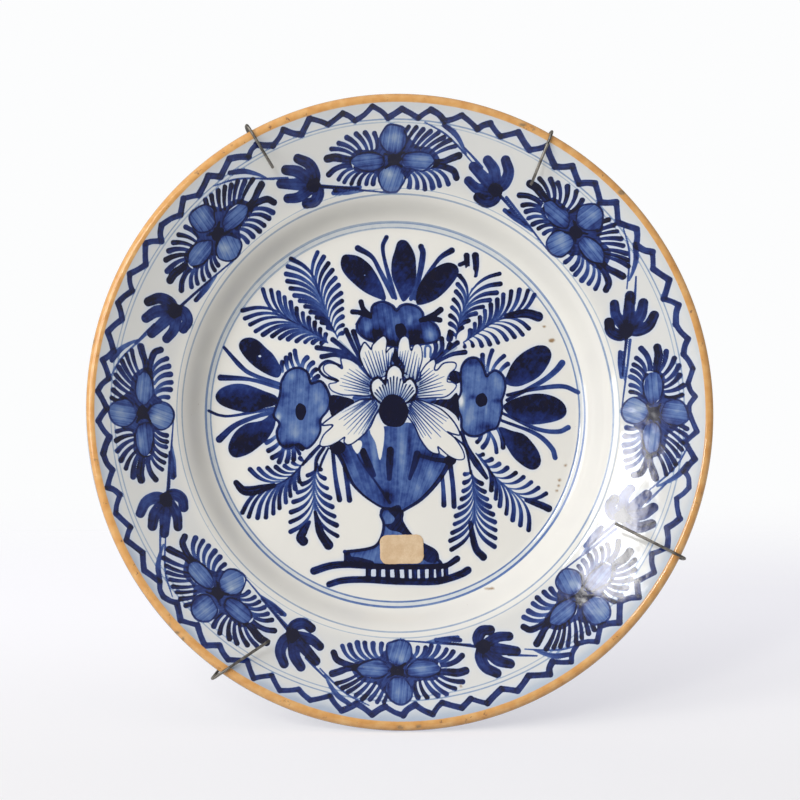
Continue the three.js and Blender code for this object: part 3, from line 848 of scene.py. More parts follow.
def paint_vase():
    left = [(-25, -14), (-22.3, -18.5), (-20, -23.5), (-17.3, -28.5), (-13, -33), (-8, -36.5), (-5, -38)]
    right = [(2.6, -39.4), (9.5, -35.2), (14.5, -30.5), (18.5, -25.5), (21, -21.5), (22.5, -18.5)]
    top = [(17.5, -15), (10.5, -9), (6.5, -3), (-4.5, -4.5), (-8, -4), (-12, -7), (-17, -10.5),
           (-21, -11.5)]
    well.patch([*left, (-1.5, -39.5), *right, *top], 0.65, wash, lines_from=(-1.5, -62), streak=0.11)
    for soft in (
        (2.4, -14, 1.7, 12, -0.42), (-8.5, -17, 1.5, 9, -0.4), (14.5, -24, 2, 4.5, -0.3),
        (9, -30, 1.6, 3, -0.25), (-17, -22, 1.5, 5, -0.15), (-3.5, -33, 3, 3, 0.5), (13, -17, 5, 2.4, 0.5),
        (5.5, -12, 1, 6, 0.35), (-12, -20, 3, 3, 0.25), (-21, -16, 2, 4, 0.3),
    ):
        well.touch(*soft)
    well.strokes((
        (left, (2.2, 1.8, 1.5, 1.1, 0.9, 0.9), 0.9),
        (right, (1.1, 1.4, 1.7, 1.9, 2.1), 0.92),
        ([(-17, -13), (-14.5, -19), (-8, -28), (-2.5, -36)], (0.7, 0.7, 0.9, 1.5), (0.6, 0.7, 0.9)),
        ([(-13.6, -15), (-12.3, -18), (-9, -24.5)], (2.8, 3, 2), (1, 0.92, 0.72)),
        ([(-2.2, -14.5), (-2.5, -20), (-2.6, -26)], (3, 3, 2), (1, 0.93, 0.74)),
        ([(9, -16), (7.8, -20), (5.6, -26)], (3, 2.4, 1.4), (0.9, 0.78, 0.68)),
        ([(10, -16.5), (16, -18), (21, -18.5)], (1.6, 1.7, 2.2), (0.74, 0.8, 0.95)),
        ([(-26, -15), (-24.7, -26), (-23, -34.6)], (1.6, 1.8, 2.3), (0.95, 0.78, 1)),
        ([(-21, -22), (-19.8, -29), (-18.9, -35)], (1.8, 2, 2.3), (0.95, 0.8, 0.95)),
        ([(19.3, -25), (19.7, -31), (19.8, -36.7)], (1.6, 1.8, 2.2), (0.9, 0.72, 0.97)),
        ([(22.5, -20), (23.6, -29), (24.1, -37.3)], (2, 2, 2.2), (0.95, 0.8, 0.97)),
    ))
    well.blob(-23.8, -13.5, 3.2, 2.8, 1.08)
    well.blob(22.6, -18.4, 2.4, 2.1, 1.08)
    bare_patch([(-10.8, -6), (-7.4, 0.5), (-5, -5), (-5.1, -12), (-6.6, -18.5), (-8.3, -11.5)])
    bare_patch([(-18, -12), (-14.5, -10.6), (-13.9, -13), (-15.8, -16)])

    stem = [(-5, -38.4), (-6, -41), (-5, -44.5), (-5.5, -49), (-8, -53), (-12, -54.8), (-20.3, -56),
            (-20.6, -56.3), (-20.6, -60.6), (-20.3, -61), (0, -61.8), (17.4, -61.3), (17.5, -59),
            (16, -55.6), (10.5, -52.5), (6, -48.5), (2.6, -43.5), (2.2, -39.5)]
    well.patch(stem, 0.56, wash, lines_from=(-1.5, -30), streak=0.15, rim=0.25)
    well.outline(stem, 1.2, 0.93)
    well.patch([(-1, -37.5), (-3, -39), (-0.5, -42), (-1.5, -44.3), (-4.3, -44.8), (-2.2, -47),
                (1.5, -48), (4, -49.5), (5, -48), (2.4, -43.5), (2.4, -39), (1.5, -37)], 0.93)
    well.patch([(6, -50), (9, -52.5), (15.5, -56), (17, -60), (13, -60), (10, -57)], 0.84)
    well.stroke([(-19.6, -57), (-18, -59.3), (-10, -60.8)], (1.6, 3.4, 2.4), 0.9)
    line.scrape(*spot(-4.5, -42.2, 0.5, 1.2))

    well.strokes((
        ([(-33.5, -64), (-27, -61.9), (-20, -61.3), (-10, -61.9), (6, -62.2), (20.5, -61.7)],
         (3.2, 3, 2.6, 2.2, 2.2, 2)),
        ([(16, -62), (21, -61.3), (25.3, -58.6)], (2, 2.2, 2.7)),
        ([(-27.3, -69.2), (-22, -67.6), (-13, -67.2), (4, -68), (16, -68), (22, -66.8), (27, -64.8),
          (29.6, -63.4)], (2.6, 2.8, 2.8, 3, 2.8, 3, 3, 3.2)),
    ), 0.97)
    for x in (-11.4, -7.4, -3.4, 0.5, 4.3, 7.8, 11, 14.4, 17.6, 20.6):
        well.stroke([(x, -62.5), (x + 0.2, -67)], 2.1 + dice.uniform(-0.2, 0.2), 0.97)


def paint_bouquet():
    for spine, sides in FERNS:
        fern(spine, sides)
    well.strokes(DASHES, (0.9, 1))
    for leaf, thins in LEAVES:
        well.patch(leaf, 0.98, streak=0.03, thins=thins)
    well.strokes(CURLS, (0.94, 0.78, 0.72), streak=0.1)
    # A painted glint: a small spot of the upper left leaf scraped back to the white ground
    line.scrape(*spot(-56, 23.3, 0.6, 0.45))
    line.scrape(*spot(-13, 57, 0.5, 0.4), share=0.6)
    for comb in (
        ([(-46.5, 17.5), (-44, 19), (-39.5, 19.5)], [(-46.6, 21.3), (-43.5, 24.6), (-41.5, 26)], 4, 0.05),
        ([(-38.5, 19.5), (-35.5, 17), (-34.3, 13)], [(-36.5, 23), (-34, 20.8), (-32, 15.6)], 4, 0.12),
        ([(-49, -9), (-47.5, -12.5), (-45.5, -14)], [(-53, -11.7), (-52.5, -14), (-50.6, -17.8)], 3, 0.05),
        ([(-46, -13.5), (-42, -13.5)], [(-47.8, -19.5), (-44.5, -19.3), (-41.7, -18.3)], 3, 0.05),
        ([(36.5, 20), (38, 18.5)], [(35.9, 25), (39.9, 27)], 2, 0.04),
        ([(40, 18.8), (43, 18)], [(45, 24.7), (46.4, 21.4)], 2, 0.06),
        ([(35.5, -7.8), (38.5, -6.8)], [(33.8, -10.8), (36, -13)], 2, 0.1),
        ([(38.5, -6.8), (42, -5)], [(41.5, -15), (44.6, -13)], 2, 0.08),
    ):
        well.comb(*comb, (1.3, 1.7, 2))
    well.stroke([(-40.3, -12), (-38.5, -14)], (2.6, 2.2), 1)
    well.stroke([(-41, -14), (-39.5, -16.2)], (1.2, 1.6), 0.9)
    for points in (
        [(-13.5, 21), (-17, 27), (-20.5, 34.6)], [(-13, 22), (-15.5, 29), (-17.5, 34.2)],
        [(-14, 20.5), (-20, 26), (-26, 30.6)], [(-14.5, 19.8), (-22, 25.5), (-32.4, 27.3)],
        [(-18, 22.5), (-24.5, 24.4), (-30.2, 23.6)], [(14.5, 22.5), (16.5, 27), (16, 31)],
        [(15, 22), (19, 27), (19, 31.5)], [(16, 22), (21, 26.5), (25.5, 30)],
        [(17, 21.8), (23, 25), (28.5, 26)],
    ):
        well.stroke(points, (1.2, 1.7, 2.2), (0.8, 0.85, 0.98))
    for points in ([(-15, 21), (-23, 30)], [(-14, 22), (-18, 33)], [(-17, 21), (-28, 26)],
                   [(15, 22), (18, 29)], [(17, 22), (25, 28)]):
        well.stroke(points, (2.2, 1.2), (0.3, 0.2), layer=wash)
    for flower in WASHED_FLOWERS:
        washed_flower(*flower)
    well.strokes((
        ([(-14.3, 46.2), (-13.3, 43.5), (-10.6, 41.2)], (2.2, 2, 1.6)),
        ([(-17.8, 42.2), (-14.5, 41.9), (-10.5, 40.3)], (2.2, 2, 1.6)),
        ([(18.6, 43.5), (15.5, 41.2), (10.5, 39)], (2.5, 2.4, 2)),
        ([(18.2, 39.2), (14.5, 39.9), (12, 39)], (2.3, 2.2, 1.4)),
        ([(24.3, 16.2), (24.8, 15)], (4.6, 4)),
        ([(22.2, 15), (24, 14.6)], (1, 2)),
    ), 1.02)


def paint_daisy():
    """The white flower in front of it all, its lined petals round three joined buds and a dark disc."""
    for shape in (
        [(-27, 7.4), (-21, 7.2), (-17, 5.6), (-20, 2.6), (-23.5, 1), (-26.5, -0.4)],
        [(14.3, 5.6), (18.2, 6.8), (22.2, 7), (25.5, 9), (26.3, -1.8), (24.5, 0.2), (21, 2.8), (17, 4.3)],
        [(-1.5, 23), (-0.4, 27), (0.8, 26.5), (1.6, 22), (0.4, 20)],
    ):
        well.patch(shape, 1.04)
    well.patch([(-18, 6.5), (-12, 11), (-9, 16.5), (-3, 18.5), (-1, 25), (2, 21), (8, 17), (11, 12),
                (17, 7), (9, 3), (-8, 3)], 0.62, wash, lines_from=(-1, 3), streak=0.3)
    for petal in PETALS:
        white_petals(*petal)
    well.stroke([(-23.6, 13.8), (-29, 15.6), (-31.4, 19), (-28, 21.9), (-22.8, 20)], (1, 1.1, 1.2, 1), 0.92)
    well.stroke([(12, 24), (12.3, 28.2), (14.4, 28), (14.5, 24)], (1, 0.9, 1), 0.6)

    buds = [(-6.6, 5), (-9.3, 7.6), (-10.3, 11), (-9.8, 13.6), (-7.4, 15.2), (-5.1, 13.9), (-4.2, 12.6),
            (-4, 15), (-3.7, 17.5), (-2.5, 19.6), (-0.5, 20.5), (1.5, 19.6), (2.8, 17.4), (3.1, 15),
            (3.6, 13.6), (4.6, 14.5), (6.2, 15), (7.8, 13.6), (8.6, 11), (8.3, 8.4), (6.6, 6), (4.8, 5)]
    bare_patch(buds)
    disc_top = [(-6.3, 5.6), (-4, 7.7), (-0.9, 8.4), (2, 7.7), (4.6, 5.4)]
    line_ends = [(-9.2, 7.6), (-7.6, 10.6), (-5.4, 12.2), (-3.2, 14.6), (-0.6, 15.8), (2, 14.6), (4.4, 12.6),
                 (6.6, 12), (8, 8.6)]
    count = 17
    for root, tip in zip(spread(smooth(disc_top), count), spread(smooth(line_ends), count)):
        well.stroke((root, tip), (1, 0.8), (0.26, 0.2), layer=wash, build=0)
        well.stroke((root, tip), (0.4, 0.4, 0.6), (0.85, 0.9, 0.95), build=0)
    well.outline(buds, 1, 0.97, closed=False)
    for lobe in (buds[1:6], buds[7:13], buds[15:21]):
        edge = spread(smooth(lobe), 9)
        middle = edge.mean(0)
        for root in edge:
            well.stroke((root, root + (root - middle) * dice.uniform(0.35, 0.6)), (0.8, 0.4), (0.95, 0.75))
    well.patch([(-0.9, 8.6), (-4.2, 7.4), (-6.5, 4), (-6.7, 0.2), (-4.9, -3.6), (-1.4, -5), (2.2, -4.4),
                (4.6, -1.8), (5, 2.5), (3, 6.8)], 1.1)


# Spots where the glaze is off or discoloured: place and size
FLAWS = (
    (64.5, 31, 1.2, 0.9), (61.3, 36.5, 0.5, 0.5), (70.2, -20.5, 0.7, 0.6), (67.6, -26.8, 0.7, 0.6),
    (67.2, -28.9, 0.5, 0.5), (66.2, -31, 0.6, 0.4), (38, -71.3, 1.5, 0.35), (24, -111, 0.5, 0.5),
    (89.5, 89.5, 1.6, 1), (-93.5, -86, 0.5, 1.3), (-90.6, -89.4, 0.9, 0.5), (-88.2, -92, 0.4, 1),
    (49, 116.5, 1.2, 0.6), (53.5, 114.8, 0.6, 0.6), (-1, -127.3, 1.4, 0.6), (6, -127, 0.9, 0.5),
    (-124.5, 26.5, 0.5, 1.1),
)

# Angle and radius of each border motif
FLOWERS = ((91.6, 102.6), (45.9, 103), (0, 103.8), (314.6, 104.8), (269.3, 104.6), (225, 104.3),
           (180.8, 104.2), (136.2, 103.3))
SPRIGS = ((111.8, 99.4), (67.3, 99.8), (20.8, 100.2), (335.9, 101), (290, 101.8), (244.8, 101.3),
          (201.4, 102.2), (156.9, 100.5))


def paint():
    """Everything that the brush did, from the rim inward. Gives the pigment that bleeds."""
    for radius, width, tone, seed in ((117.1, 0.6, 0.27, 1), (115.6, 0.55, 0.22, 4)):
        ring(radius, width, tone, seed, wobble=0.4, centre=(-0.9, 0.9))
    ring(91, 0.5, 0.2, 7, wobble=0.4)
    ring(88.7, 0.7, 0.24, 10)
    ring(78.5, 0.9, 0.34, 13, heavy=0.35)
    ring(76.3, 0.7, 0.3, 16, heavy=0.3)
    ring(77.4, 2.2, 0.11, 19, layer=wash)
    ring(123.6, 1.6, 0.08, 22, wobble=0.5, fade=0.5, layer=wash, heavy=0.3)
    ring(122.6, 4, 0.05, 25, wobble=0.4, fade=0.6, layer=wash, heavy=0.85)
    zigzag()
    for motif, places, palest, turn, shake in (
        (border_flower, FLOWERS, 0.95, 1, 0.2), (sprig, SPRIGS, 0.96, 1.5, 0.22),
    ):
        for angle, radius in places:
            deep = dice.uniform(palest, 1.03)
            motif(border_hand(angle, radius, dice.normal(0, turn), shake=shake, tone=deep))
    paint_vase()
    paint_bouquet()
    paint_daisy()
    well.scrape([(28, 58), (30, 61.5), (32.5, 59.5), (32, 56.5), (30, 57.5)], line)
    for x, z, rx, rz in FLAWS:
        where, outside = spot(x, z, rx, rz)
        bare.put(where, outside + 0.3 * cloud(1.1, 12)[where], np.float32(1))
    bleeding = np.maximum(line.edge * line.tone, wash.edge * wash.tone * WASH_BLEED).clip(0, 1)
    line.tone *= 1 + 0.06 * cloud(5, 5) + 0.04 * cloud(1.6, 6)
    wash.tone *= 1 + 0.1 * cloud(5, 8) + 0.07 * cloud(1.8, 9)
    return bleeding


def blur(field, size):
    """A soft copy, spread about so many mm."""
    half = max(1, int(size / CELL / 2))
    n = 2 * half + 1
    for axis in (0, 1, 0, 1, 0, 1):
        pads = [(0, 0), (0, 0)]
        pads[axis] = (half + 1, half)
        total = np.cumsum(np.pad(field, pads, mode="edge"), axis=axis, dtype=np.float64)
        field = (total[n:] - total[:-n] if axis == 0 else total[:, n:] - total[:, :-n]) / n
    return field.astype(np.float32)


def sample(field, x, z):
    """The sheet's value at each point."""
    u = np.clip((x + REACH) / CELL, 0, SIDE - 1.001)
    v = np.clip((z + REACH) / CELL, 0, SIDE - 1.001)
    i = u.astype(int)
    j = v.astype(int)
    a = u - i
    b = v - j
    low = field[j, i] * (1 - a) + field[j, i + 1] * a
    high = field[j + 1, i] * (1 - a) + field[j + 1, i + 1] * a
    return low * (1 - b) + high * b


# Meshes


def ring_points(radius, depth, count):
    x, z = (polar(radius, np.arange(count) * 2 * math.pi / count) * (ROUND_X, ROUND_Z)).T
    return np.stack((x, np.full(count, depth), z), 1)


def band(low, high, count):
    """The quads between two rings of points, from the first point of each."""
    return [(low + k, low + (k + 1) % count, high + (k + 1) % count, high + k) for k in range(count)]


def fan(tip, ring_start, count):
    """The triangles from a point to a ring of points."""
    return [(tip, ring_start + k, ring_start + (k + 1) % count) for k in range(count)]


def net(low, high, steps):
    """The faces between two rings of the dish's front, of steps - 1 and steps points a sector."""
    inner, outer = SECTORS * (steps - 1), SECTORS * steps
    faces = []
    for side in range(SECTORS):
        for k in range(steps):
            a = high + side * steps + k
            b = high + (side * steps + k + 1) % outer
            c = low + (side * (steps - 1) + k) % inner
            d = low + (side * (steps - 1) + k + 1) % inner
            faces.append((a, b, d, c) if k < steps - 1 else (a, b, c))
    return faces


def dish_mesh():
    """One closed skin: fine in front for the painting, coarser behind.

    Gives its points and faces, how far each point lies along the skin from the middle of the well
    or, as a minus value, from the middle of the back, and the length of these two ways.
    """
    section = front_section()
    radii = section[-1, 0] * np.arange(1, RINGS + 1) / RINGS
    depths = np.interp(radii, section[:, 0], section[:, 1])
    travelled = np.cumsum(np.hypot(np.diff(radii, prepend=0), np.diff(depths, prepend=WELL_DEPTH)))
    rings = [np.array([(0, WELL_DEPTH, 0)], float)]
    run = [np.zeros(1)]
    faces = []

    def lay(place, count, way):
        rings.append(ring_points(*place, count))
        run.append(np.full(count, way))

    here = 0
    previous = 1
    for step, (radius, depth, way) in enumerate(zip(radii, depths, travelled), 1):
        start, here = here, here + previous
        previous = SECTORS * step
        lay((radius, depth), previous, way)
        faces += net(start, here, step) if step > 1 else fan(0, here, SECTORS)
    last = section[-1]
    for place in arc(LIP_CENTRE, LIP_RADIUS, -math.pi / 2 - FALL, math.pi / 2 - FALL, LIP_STEPS + 1)[1:]:
        way += np.hypot(*(place - last))
        last = place
        start, here = here, here + previous
        lay(place, previous, way)
        faces += band(here, start, previous)
    back = back_section()
    coarse = previous // BACK_SHARE
    remaining = np.hypot(*np.diff(np.concatenate(([last], back)), axis=0).T).sum()
    left = remaining
    for place in back[:-1]:
        left -= np.hypot(*(place - last))
        last = place
        start, here = here, here + previous
        lay(place, coarse, -left)
        if previous == coarse:
            faces += band(here, start, coarse)
        else:
            for k in range(coarse):
                fine = [start + (BACK_SHARE * k + s) % previous for s in range(BACK_SHARE, -1, -1)]
                faces.append((here + k, here + (k + 1) % coarse, *fine))
        previous = coarse
    rings.append(np.array([(0, BASE_DEPTH, 0)], float))
    run.append(np.array([-0.001]))
    faces += [face[::-1] for face in fan(here + previous, here, previous)]
    return np.concatenate(rings), faces, np.concatenate(run), way, remaining


def new_object(name, points, faces):
    mesh = bpy.data.meshes.new(name)
    mesh.from_pydata([tuple(p) for p in points], [], faces)
    mesh.polygons.foreach_set("use_smooth", [True] * len(mesh.polygons))
    thing = bpy.data.objects.new(name, mesh)
    bpy.context.scene.collection.objects.link(thing)
    return thing


def to_frame(points):
    return (np.array(points, float) - (0, HANGER_PLANE, NAIL_HEIGHT)) * MM


def set_colours(mesh, name, channels):
    layer = mesh.color_attributes.new(name, "FLOAT_COLOR", "POINT")
    layer.data.foreach_set("color", np.stack(channels, 1).astype(np.float32).ravel())


# The flat map's two rounds: the centre and the radius of the front's, and of the back's
FRONT_ROUND = (0.425, 0.42)
BACK_ROUND = (0.84, 0.155)


def atlas(mesh, places, run, front_way, back_way):
    """Flat map of the dish: the front on a big round, the back on a small one in the corner."""
    turn = np.arctan2(places[:, 2], places[:, 0])
    front = run >= 0
    reach = np.where(front, run / front_way * FRONT_ROUND[1], -run / back_way * BACK_ROUND[1])
    spots = np.where(front, FRONT_ROUND[0], BACK_ROUND[0])[:, None] + polar(reach, turn)
    corner = np.empty(len(mesh.loops), np.int64)
    mesh.loops.foreach_get("vertex_index", corner)
    pairs = spots[corner]
    totals = np.empty(len(mesh.polygons), np.int64)
    mesh.polygons.foreach_get("loop_total", totals)
    owner = np.repeat(np.arange(len(totals)), totals)
    behind = np.zeros(len(totals), bool)
    np.logical_or.at(behind, owner, ~front[corner])
    seam = behind[owner] & front[corner]
    pairs[seam] = BACK_ROUND[0] + polar(BACK_ROUND[1], turn[corner[seam]])
    layer = mesh.uv_layers.new(name="OFBake")
    layer.data.foreach_set("uv", pairs.astype(np.float32).ravel())


def build_dish():
    halo = blur(paint(), HALO)
    places, faces, run, lip_end, back_way = dish_mesh()
    dish = new_object("painted_dish", to_frame(places), faces)
    x, depth, z = places.T
    front = run >= 0
    angle = np.arctan2(z / ROUND_Z, x / ROUND_X)
    radius = np.hypot(x / ROUND_X, z / ROUND_Z)
    fields = (line.edge, line.tone, wash.edge, wash.tone)
    set_colours(dish.data, "paint", [sample(field, x, z) * front for field in fields])
    flat_end = lip_end - math.pi * LIP_RADIUS
    past = np.where(run > flat_end, RIM_RADIUS + run - flat_end, radius)
    ochre_start = OCHRE_START + unsteady(angle, 41, 0.5)
    ochre_end = RIM_RADIUS + OCHRE_BEHIND + unsteady(angle, 44, 1.6)
    ochre = np.minimum(covered(ochre_start - past), covered(past - ochre_end)) * front
    crest = np.clip((depth - (FOOT_CREST - FOOT_WIPED)) / FOOT_FADE, 0, 1)
    edge_on = np.exp(-(((past - RIM_RADIUS) / CHIP_REACH) ** 2)) * front
    unglazed = np.maximum(crest, sample(bare.edge, x, z) * front)
    set_colours(dish.data, "body", [ochre, edge_on, sample(halo, x, z) * front, unglazed])
    atlas(dish.data, places, run, lip_end, back_way)
    return dish


# Wires


def on_dish(angle, radius, depth):
    turn = math.radians(angle)
    return Vector((radius * math.cos(turn) * ROUND_X, depth, radius * math.sin(turn) * ROUND_Z))


def at_corner(before, here, after):
    """A corner's ways back, ahead and to the middle between them, and half the angle there."""
    back = (before - here).normalized()
    ahead = (after - here).normalized()
    return back, ahead, (back + ahead).normalized(), back.angle(ahead) / 2


def bent_route(corners):
    """Points along straight runs joined by round bends. Each corner is its place and its bend."""
    route = [corners[0][0].copy()]
    for (before, _), (here, bend), (after, _) in zip(corners, corners[1:], corners[2:]):
        back, ahead, inward, half = at_corner(before, here, after)
        tangent = bend / math.tan(half)
        centre = inward * (bend / math.sin(half))
        start = back * tangent - centre
        end = ahead * tangent - centre
        sweep = start.angle(end)
        pivot = start.cross(end).normalized()
        steps = max(3, math.ceil(BEND_STEPS * sweep / math.pi))
        for s in range(steps + 1):
            route.append(Matrix.Rotation(sweep * s / steps, 3, pivot) @ start + centre + here)
    route.append(corners[-1][0].copy())
    return route


def bend_middle(before, corner, after, bend):
    _, _, inward, half = at_corner(before, corner, after)
    return corner + inward * (bend / math.sin(half) - bend)


def foot_crossing(eye, rim_spot):
    """Where a leg on its way from an eye to the rim passes just outside the foot ring."""
    outside = FOOT_OUTER + FOOT_BEND_OUTSIDE
    run = Vector((rim_spot.x - eye.x, rim_spot.z - eye.z))
    a = run.length_squared
    b = 2 * (run.x * eye.x + run.y * eye.z)
    c = eye.x**2 + eye.z**2 - outside**2
    share = (-b + math.sqrt(b * b - 4 * a * c)) / (2 * a)
    return Vector((eye.x + run.x * share, HANGER_PLANE, eye.z + run.y * share))


def claw_corners(claw, eye):
    outside = RIM_RADIUS + claw["overhang"] - WIRE_RADIUS
    front = on_dish(claw["angle"], outside, -TOUCH_GAP - WIRE_RADIUS)
    back = on_dish(claw["angle"], outside, LIP_THICKNESS + TOUCH_GAP + WIRE_RADIUS)
    inward = math.radians(claw["angle"] + 180 + claw["skew"])
    tip = front + Vector((math.cos(inward), 0, math.sin(inward))) * claw["reach"]
    return [(tip, 0), (front, CLAW_BEND), (back, CLAW_BEND), (foot_crossing(eye, back), FOOT_BEND)]


def hanger_wire(claws, eyes, middle):
    first = claw_corners(claws[0], eyes[0])
    last = claw_corners(claws[1], eyes[1])[::-1]
    corners = [*first, (eyes[0], VALLEY_BEND), (middle, LOOP_BEND), (eyes[1], VALLEY_BEND), *last]
    seats = [bend_middle(first[-1][0], eyes[0], middle, VALLEY_BEND),
             bend_middle(last[0][0], eyes[1], middle, VALLEY_BEND)]
    return bent_route(corners), seats


def upper_wire():
    eyes = [Vector((side * UPPER_EYE_SPREAD, HANGER_PLANE, UPPER_EYE_HEIGHT)) for side in (-1, 1)]
    height = LOOP_HEIGHT
    for _ in range(20):
        half = math.atan2(UPPER_EYE_SPREAD, height - UPPER_EYE_HEIGHT)
        height = LOOP_HEIGHT + LOOP_BEND / math.sin(half) - LOOP_BEND
    return hanger_wire(UPPER_CLAWS, eyes, Vector((0, HANGER_PLANE, height)))


def lower_wire():
    aim = math.radians((LOWER_CLAWS[0]["angle"] + LOWER_CLAWS[1]["angle"]) / 2)
    down = Vector((math.cos(aim), 0, math.sin(aim)))
    side = Vector((-math.sin(aim), 0, math.cos(aim)))
    plane = Vector((0, HANGER_PLANE, 0))
    eyes = [plane + down * LOWER_EYE_DROP + side * way * LOWER_EYE_SPREAD for way in (-1, 1)]
    return hanger_wire(LOWER_CLAWS, eyes, plane + down * LOWER_DIP)


def tube(name, route, radius, sides):
    """A closed round tube with slightly domed ends."""
    p = np.array([tuple(v) for v in route])
    p = p[np.concatenate(([True], np.hypot.reduce(np.diff(p, axis=0), axis=1) > SAME_SPOT))]
    ahead = np.diff(p, axis=0)
    ahead /= np.linalg.norm(ahead, axis=1)[:, None]
    direction = np.concatenate((ahead[:1], ahead[:-1] + ahead[1:], ahead[-1:]))
    direction /= np.linalg.norm(direction, axis=1)[:, None]
    normal = np.array((0, 1, 0)) if abs(direction[0, 1]) < 0.9 else np.array((1, 0, 0))
    turns = np.arange(sides) * 2 * math.pi / sides
    points = []
    for here, way in zip(p, direction):
        normal = normal - way * (normal @ way)
        normal /= np.linalg.norm(normal)
        aside = np.cross(way, normal)
        points.append(here + radius * (np.cos(turns)[:, None] * normal + np.sin(turns)[:, None] * aside))
    last = (len(points) - 1) * sides
    start = last + sides
    dome = radius * END_DOME
    points = np.concatenate((*points, p[:1] - direction[:1] * dome, p[-1:] + direction[-1:] * dome))
    faces = [face for low in range(0, last, sides) for face in band(low, low + sides, sides)]
    faces += [face[::-1] for face in fan(start, 0, sides)] + fan(start + 1, last, sides)
    return new_object(name, to_frame(points), faces)


def spring_route(length):
    """A spring of this length: x sideways, y along it from the low seat, z backwards."""
    hook_radius = WIRE_RADIUS + TOUCH_GAP + SPRING_WIRE / 2
    sweep = math.radians(HOOK_ARC)
    hook = [Vector((0, -hook_radius * math.sin(a), hook_radius * math.cos(a)))
            for a in (sweep * s / HOOK_STEPS for s in range(HOOK_STEPS, -1, -1))]
    hook.insert(0, hook[0] + Vector((0, -math.cos(sweep), -math.sin(sweep))) * SPRING_WIRE)
    hook.append(Vector((0, HOOK_NECK, hook_radius)))
    coil_radius = SPRING_OUTER_RADIUS - SPRING_WIRE / 2
    coil_run = length - 2 * (HOOK_NECK + EASE_RISE)
    turns = SPRING_CURLS + 2 * EASE_TURN
    steps = round(turns * CURL_STEPS)
    curls = []
    for s in range(1, steps):
        turned = s / steps * turns
        opened = coil_radius * smoothstep(min(turned, turns - turned) / EASE_TURN)
        done = min(max(turned - EASE_TURN, 0), SPRING_CURLS)
        eased = min(turned, EASE_TURN) + max(turned - EASE_TURN - SPRING_CURLS, 0)
        climb = EASE_RISE * eased / EASE_TURN + coil_run * done / SPRING_CURLS
        a = 2 * math.pi * turned
        curls.append(Vector((
            opened * math.cos(a), HOOK_NECK + climb, hook_radius + opened * math.sin(a)
        )))
    far = [Vector((p.x, length - p.y, p.z)) for p in reversed(hook)]
    return [*hook, *curls, *far]


def spring_halves(name, low, high):
    """The spring as two pieces that meet at its middle, and the place of that middle."""
    along = high - low
    y_axis = along.normalized()
    z_axis = Vector((0, 1, 0))
    x_axis = y_axis.cross(z_axis)
    turn = Matrix((x_axis, y_axis, z_axis)).transposed()
    local = spring_route(along.length)
    middle = along.length / 2
    cut = min(i for i, p in enumerate(local) if p.y > middle)
    route = [turn @ p + low for p in local]
    lower = tube(f"{name}_lower_half", route[:cut + 1], SPRING_WIRE / 2, SPRING_SIDES)
    upper = tube(f"{name}_upper_half", route[cut:], SPRING_WIRE / 2, SPRING_SIDES)
    return lower, upper, world(*(low + along / 2))


# Label


def label_mesh():
    """The paper: rounded corners a little worn, and edges that sink towards the glaze."""
    w = LABEL_WIDTH / 2 - LABEL_CORNER
    h = LABEL_HEIGHT / 2 - LABEL_CORNER
    quarter = math.pi / 2
    corners = [arc(centre, LABEL_CORNER, quarter * k, quarter * (k + 1), steps=9)
               for k, centre in ((-1, (w, -h)), (0, (w, h)), (1, (-w, h)), (2, (-w, -h)))]
    outline = spread(np.concatenate((*corners, corners[0][:1])), LABEL_POINTS + 1)[:-1]
    wear = dice.uniform(0, LABEL_WEAR, (LABEL_POINTS, 1))
    outline -= outline / np.hypot(*outline.T)[:, None] * wear
    front = WELL_DEPTH - GLUE_FILM - LABEL_THICKNESS
    points = []
    faces = []
    for i, share in enumerate((1, 0.985, 0.9, 0.7, 0.45, 0.2)):
        if i:
            faces += band(len(points) - LABEL_POINTS, len(points), LABEL_POINTS)
        depth = front if i else front + LABEL_THICKNESS * LABEL_SINK
        points += [(x * share, depth, z * share) for x, z in outline]
    faces += fan(len(points), len(points) - LABEL_POINTS, LABEL_POINTS)
    points.append((0, front, 0))
    back = len(points)
    points += [(x, front + LABEL_THICKNESS, z) for x, z in outline]
    faces += band(back, 0, LABEL_POINTS)
    faces.append(tuple(range(len(points) - 1, back - 1, -1)))
    p = np.array(points)
    a = math.radians(LABEL_TURN)
    x = p[:, 0] * math.cos(a) + p[:, 2] * math.sin(a)
    z = p[:, 2] * math.cos(a) - p[:, 0] * math.sin(a)
    placed = np.stack((x + LABEL_X, p[:, 1], z + LABEL_Z), 1)
    return new_object("aged_label", to_frame(placed), faces)


# Materials


